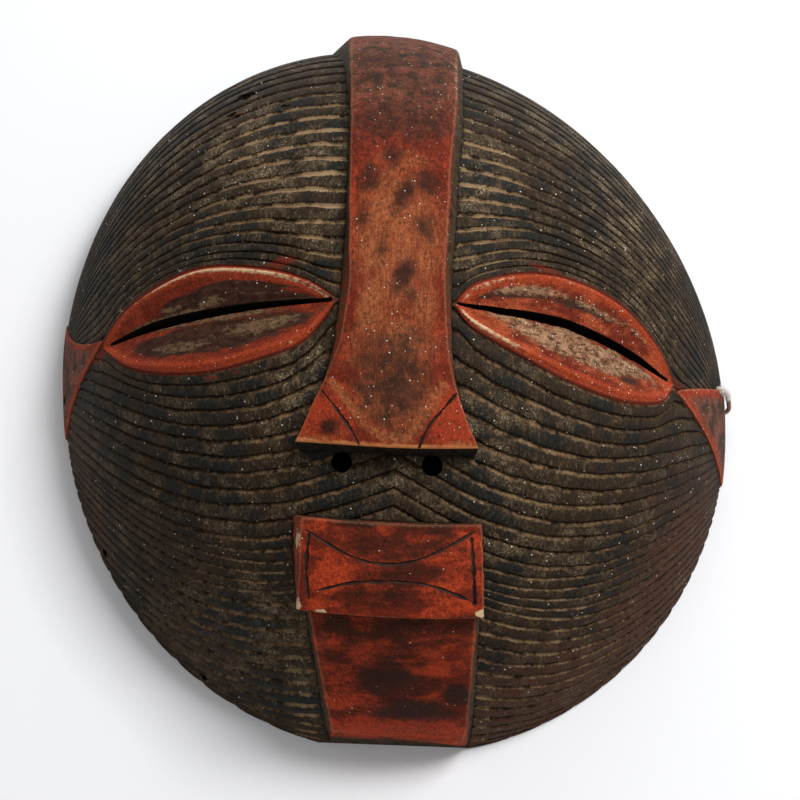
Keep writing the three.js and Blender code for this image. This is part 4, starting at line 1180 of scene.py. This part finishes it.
colour = coats(OCHRE, [
    (patches(bright, 230.0, 0.16, (1, 0.6, 1)), OCHRE_BRIGHT),
    (patches(dusty * 0.72, 420.0, 0.2), DUSTY_RED),
    (patches(dusty * 0.5, 160.0, 0.14, (1, 0.7, 1)), GREEN_GREY),
    (lower * patches(bright + 0.1, 105.0, 0.1, (0.45, 1.3, 1)), CHIN_BRIGHT),
    (charred * lower * 0.9, CHIN_DARK),
    (ramp(worn, 0.2, 0.9, 0, 0.95), orange),
    (dark * ramp(lower, 0, 1, 1, 0.6), PATINA),
    (tired * 0.6, PATINA),
    (1.0, ramp(noise(1500.0, 3.0), 0.3, 0.7, 0.65, 1.35), "MULTIPLY"),
    (rim * 0.2, GREY_TAN),
    (ramp(edge + fine * 1.5, -0.4, -1.8), flank),
    (patches(reading("strip") * 0.66, 200.0, 0.16, (0.4, 1, 1)), STRIP_WOOD),
    (patches(reading("cream") * 0.8, 300.0, 0.1), CREAM),
    (specks(ramp(lower, 0, 1, 0.08, 0.015), 820.0, 0.34), LIME),
])
dress(colour, streak + fine * 0.6, 0.0004, ramp(dark, 0, 1, 0.7, 0.55))

# The lids: red borders round dark and tan wood, worn across in short strokes, with pale cream as painted
# highlight on broken crests
LID_BORDER = (0.38, 0.055, 0.018, 1)
LID_BROWN = (0.05, 0.026, 0.016, 1)
LID_ORANGE = (0.36, 0.07, 0.024, 1)
LID_RED = (0.25, 0.036, 0.013, 1)
DULL_TAN = (0.2, 0.085, 0.042, 1)
OLIVE_TAN = (0.17, 0.1, 0.052, 1)
ACROSS = (0.38, 1, 1)
start("painted_lids", 0.65, 0.06)
streak = fibres(900.0, 3.0)
broad, fine = noise(60.0), noise(700.0, 6.0)
lid_tan, lid_edge = reading("lid_tan"), reading("lid_edge")
rightward = ramp(node("SeparateXYZ", {"Vector": place})["X"], -0.02, 0.02)
fresh = patches(ramp(broad, 0.35, 0.65, 0.4, 0.6), 260.0, 0.14, ACROSS)
dark = patches(reading("lid_dark") * 0.95, 170.0, 0.14, ACROSS)
old_wood = blend(patches(0.5, 340.0, 0.12, ACROSS), PATINA, LID_BROWN)
tan = patches(lid_tan * 0.8, 380.0, 0.14, ACROSS)
pale_tan = blend(patches(0.54, 150.0, 0.2, ACROSS), DULL_TAN, GREY_TAN)
pitted = patches(lid_tan * 0.12 + 0.36, 520.0, 0.12, ACROSS)
line = lid_edge + swing(fine, 3.0)
crest = ramp(line, 0.3, 1.2) * ramp(line, 3.4, 2.2)
broken_crest_highlight = patches(reading("crest") * 0.6, 330.0, 0.1)
colour = coats(OCHRE, [
    (fresh, blend(rightward, LID_RED, LID_ORANGE)),
    (dark * 0.94, old_wood),
    (tan * 0.88, blend(rightward, OLIVE_TAN, pale_tan)),
    (ramp(lid_tan + swing(fine, 0.6), 1.15, 1.4), CREAM),
    (pitted * 0.85, PATINA),
    (ramp(lid_edge + swing(fine, 5.0), 6.5, 3.4, 0, 0.72), LID_BORDER),
    (patches(0.42, 900.0, 0.12) * 0.6, PATINA),
    (1.0, ramp(noise(1500.0, 3.0), 0.3, 0.7, 0.65, 1.35), "MULTIPLY"),
    # Painted highlight along the broken crests of the lids
    (crest * broken_crest_highlight * 0.9, CREAM),
    (specks(ramp(rightward, 0, 1, 0.035, 0.15), 900.0, 0.36), LIME),
])
dress(colour, streak + tan * 0.8, 0.0005)

# Bare wood inside, painted shade in the slits, holes and pits and on the nose's underside, and dark red-brown
# with dust in the scored lines
RAW_WOOD = (0.27, 0.17, 0.09, 1)
RAW_WOOD_DARK = (0.13, 0.073, 0.036, 1)
start("bare_wood", 0.75, 0.25)
streak, pores = fibres(420.0, 18.0), fibres(1800.0, 22.0)
colour = coats(RAW_WOOD_DARK, [
    (ramp(streak, 0.35, 0.68), RAW_WOOD),
    (ramp(pores, 0.42, 0.3), RAW_WOOD_DARK),
    (patches(0.42, 22.0, 0.18) * 0.6, BROWN_BLACK),
])
dress(colour, streak + pores, 0.0004)

SHADE_BLACK = (0.004, 0.003, 0.0025, 1)
SHADE_BROWN = (0.022, 0.013, 0.007, 1)
# Near black that stands in for the shade inside the cuts and holes and under the nose
start("painted_shade_cut", 0.9, 0.1)
fine = noise(400.0)
dress(blend(ramp(fine, 0.4, 0.7), SHADE_BLACK, SHADE_BROWN), fine, 0.0004)

SCORE_DARK = (0.014, 0.004, 0.002, 1)
SCORE_RED = (0.05, 0.017, 0.008, 1)
start("scored_line", 0.7, 0.2)
dust = patches(0.5, 70.0, 0.15)
dress(blend(dust, SCORE_DARK, SCORE_RED), dust, 0.0002)

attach(face, "root")
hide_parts("mask")

# The tie cord: three plies of undyed cotton twisted together. It leaves the hole in the right temple,
# goes down the outside, under the arched rim and up the inside to a knot at the hole's inner mouth.
CORD_ACROSS = 2.6
PLY_TURN = 5.5  # mm of cord for one turn of the plies
PLY_SHARE = 0.52  # a ply's radius in shares of the cord's
PLY_STEP = 0.00045  # metres between a ply's rings
FLUFF_FROM, FLUFF_TO = 9, 26  # the frayed stretch, in steps along the cord's path
FLUFF_COUNT = 700
FLUFF_REACH = 3.6
FLUFF_THICK = 0.4
FLUFF_SEED = 8
PATH_STEPS = 90
CORD_ROUTE = [(-3, -1.5, 0), (-0.5, -0.7, 0), (1.9, -0.6, 0.3), (4, -1.8, 1), (5.5, -4.1, 2.2),
              (6.2, -7, 3.6), (6.7, -9.8, 4.9), (7, -12.4, 6), (6.2, -14.9, 6.9), (4.2, -16.6, 7.3),
              (1.2, -16.9, 7.3),
              (-3, -16.9, 7), (-7, -17.2, 6.3), (-10.4, -16.9, 5.3), (-13.2, -15.2, 4), (-15, -12.2, 2.5),
              (-16.1, -9.8, 1.2)]  # [out of the hole, up, toward the chin]
COTTON_PALE = (0.88, 0.8, 0.62, 1)
COTTON_DULL = (0.62, 0.52, 0.36, 1)
COTTON_WHITE = (0.82, 0.79, 0.7, 1)
COTTON_RED_BROWN = (0.2, 0.07, 0.022, 1)
hole = bowl(unroll(RIM_HOLES[-1]))
level_out = outward(unroll(RIM_HOLES[-1])) * [1, 1, 0]
level_out /= np.linalg.norm(level_out)

# A Geometry Nodes tree that lays three round plies in a helix about a curve
tree = PLIES = group("twisted_plies", [("Geometry", "Geometry"), ("Turns", "Float"), ("Cord Radius", "Float"),
                                       ("Ply Radius", "Float"), ("Step", "Float"), ("Cotton", "Material")],
                     ("Geometry", "Geometry"), "Geometry")
given = node("NodeGroupInput")
path = node("GeometryNodeResampleCurve", {"Curve": given["Geometry"], "Length": given["Step"]}, mode="LENGTH")
normal, tangent = node("GeometryNodeInputNormal"), node("GeometryNodeInputTangent")
aside = node("VectorMath", {0: tangent, 1: normal}, operation="CROSS_PRODUCT")
turned = node("GeometryNodeSplineParameter")["Factor"] * given["Turns"]
swung = given["Cord Radius"] - given["Ply Radius"]
ring = node("GeometryNodeCurvePrimitiveCircle", {"Resolution": 9, "Radius": given["Ply Radius"]})
plies = node("GeometryNodeJoinGeometry")
for ply in range(3):
    angle = calculate("MULTIPLY_ADD", turned, 2 * math.pi, 2 * math.pi * ply / 3)
    ways = [node("VectorMath", {0: way, "Scale": calculate(wave, angle) * swung}, operation="SCALE")
            for wave, way in (("COSINE", normal), ("SINE", aside))]
    offset = node("VectorMath", dict(enumerate(ways)), operation="ADD")
    line = node("GeometryNodeSetPosition", {"Geometry": path, "Offset": offset})
    tube = node("GeometryNodeCurveToMesh", {"Curve": line, "Profile Curve": ring, "Fill Caps": True})
    tree.links.new(tube.node.outputs[0], plies.node.inputs[0])
real = node("GeometryNodeRealizeInstances", {"Geometry": plies})
dressed = node("GeometryNodeSetMaterial", {"Geometry": real, "Material": given["Cotton"]})
node("NodeGroupOutput", {0: dressed})

COTTON = bpy.data.materials.new("twisted_cotton")
start("twisted_cotton", 0.95, 0.15)
fine, broad = noise(2600.0, 6.0), noise(160.0, 3.0)
height = node("SeparateXYZ", {"Vector": place})["Z"] + swing(broad, 0.008)
# A band of the cord about 7 to 13 mm above the table is darkened to red-brown
brown_band = ramp(height, 0.0165, 0.0135) * ramp(height, 0.004, 0.007)
colour = coats(COTTON_PALE, [
    (ramp(broad, 0.35, 0.7), COTTON_DULL),
    (ramp(fine, 0.5, 0.8, 0, 0.5), COTTON_WHITE),
    (brown_band * 0.9, COTTON_RED_BROWN),
])
shader.inputs["Sheen Weight"].default_value = 0.3
dress(colour, fine, 0.0003)


def cord_point(out, up, chinward):
    return to_frame(hole + level_out * out + [0, -chinward, up])


def lay_cord(name, points, across):
    """Three plies laid along a path of points, as a plain mesh."""
    curve = bpy.data.curves.new(name, "CURVE")
    curve.dimensions = "3D"
    spline = curve.splines.new("POLY")
    spline.points.add(len(points) - 1)
    spline.points.foreach_set("co", np.hstack([points, np.ones((len(points), 1))]).ravel())
    guide = bpy.data.objects.new(name, curve)
    bpy.context.collection.objects.link(guide)
    length = np.linalg.norm(np.diff(points, axis=0), axis=1).sum()
    change = guide.modifiers.new("plies", "NODES")
    change.node_group = PLIES
    sockets = {s.name: s.identifier for s in PLIES.interface.items_tree if s.in_out == "INPUT"}
    radius = across / 2 * MM
    for socket, value in (("Turns", length / (PLY_TURN * MM)), ("Cord Radius", radius),
                          ("Ply Radius", PLY_SHARE * radius), ("Step", PLY_STEP), ("Cotton", COTTON)):
        change[sockets[socket]] = value
    ready = guide.evaluated_get(bpy.context.evaluated_depsgraph_get())
    mesh = bpy.data.meshes.new_from_object(ready)
    bpy.data.objects.remove(guide)
    mesh.shade_smooth()
    thing = bpy.data.objects.new(name, mesh)
    bpy.context.collection.objects.link(thing)
    return clean(thing)


def add_fluff(thing, path):
    """Loose fibres that stand out round a frayed stretch of the cord, each a thin closed spike."""
    chance = np.random.default_rng(FLUFF_SEED)
    form = bmesh.new()
    form.from_mesh(thing.data)
    for _ in range(FLUFF_COUNT):
        foot = path[chance.integers(len(path))]
        way = chance.normal(size=3)
        way /= np.linalg.norm(way)
        aside = np.cross(way, chance.normal(size=3))
        aside *= FLUFF_THICK / 2 * MM / np.linalg.norm(aside)
        up = np.cross(way, aside)
        tip = foot + way * chance.uniform(0.5, 1) * FLUFF_REACH * MM
        ring = [foot + aside, foot - aside / 2 + 0.87 * up, foot - aside / 2 - 0.87 * up]
        a, b, c, d = (form.verts.new(spot) for spot in (*ring, tip))
        for corners in ((a, c, b), (a, b, d), (b, c, d), (c, a, d)):
            form.faces.new(corners)
    form.to_mesh(thing.data)
    form.free()


route = np.array([cord_point(*point) for point in CORD_ROUTE])
cord_path = along_curve(route, np.linspace(0, 1, PATH_STEPS))
cord = lay_cord("twisted_cord", cord_path, CORD_ACROSS)
add_fluff(cord, cord_path[FLUFF_FROM:FLUFF_TO])
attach(cord, "root")
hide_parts("tie_cord")

# The knot: the cord's end tied once round itself and pulled tight at the hole's inner mouth, which
# stops it there. Its two short tails are left loose.
KNOT_RADIUS = 2.3
KNOT_CORD = 2.2
KNOT_PLACE = (-17, -5.8, 0)
KNOT_SHARES = (0.36, 0.36, 0.75)  # the knot's reach along each axis, in shares of its radius
turn = np.linspace(0, 2 * math.pi, 160)[:-1]
trefoil = np.stack([np.sin(turn) + 2 * np.sin(2 * turn), np.cos(turn) - 2 * np.cos(2 * turn),
                    -np.sin(3 * turn)], -1)
trefoil = trefoil * KNOT_SHARES * KNOT_RADIUS * MM
knot = lay_cord("overhand_knot", cord_point(*KNOT_PLACE) + trefoil[:-2], KNOT_CORD)
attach(knot, "root")
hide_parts("cord_knot")
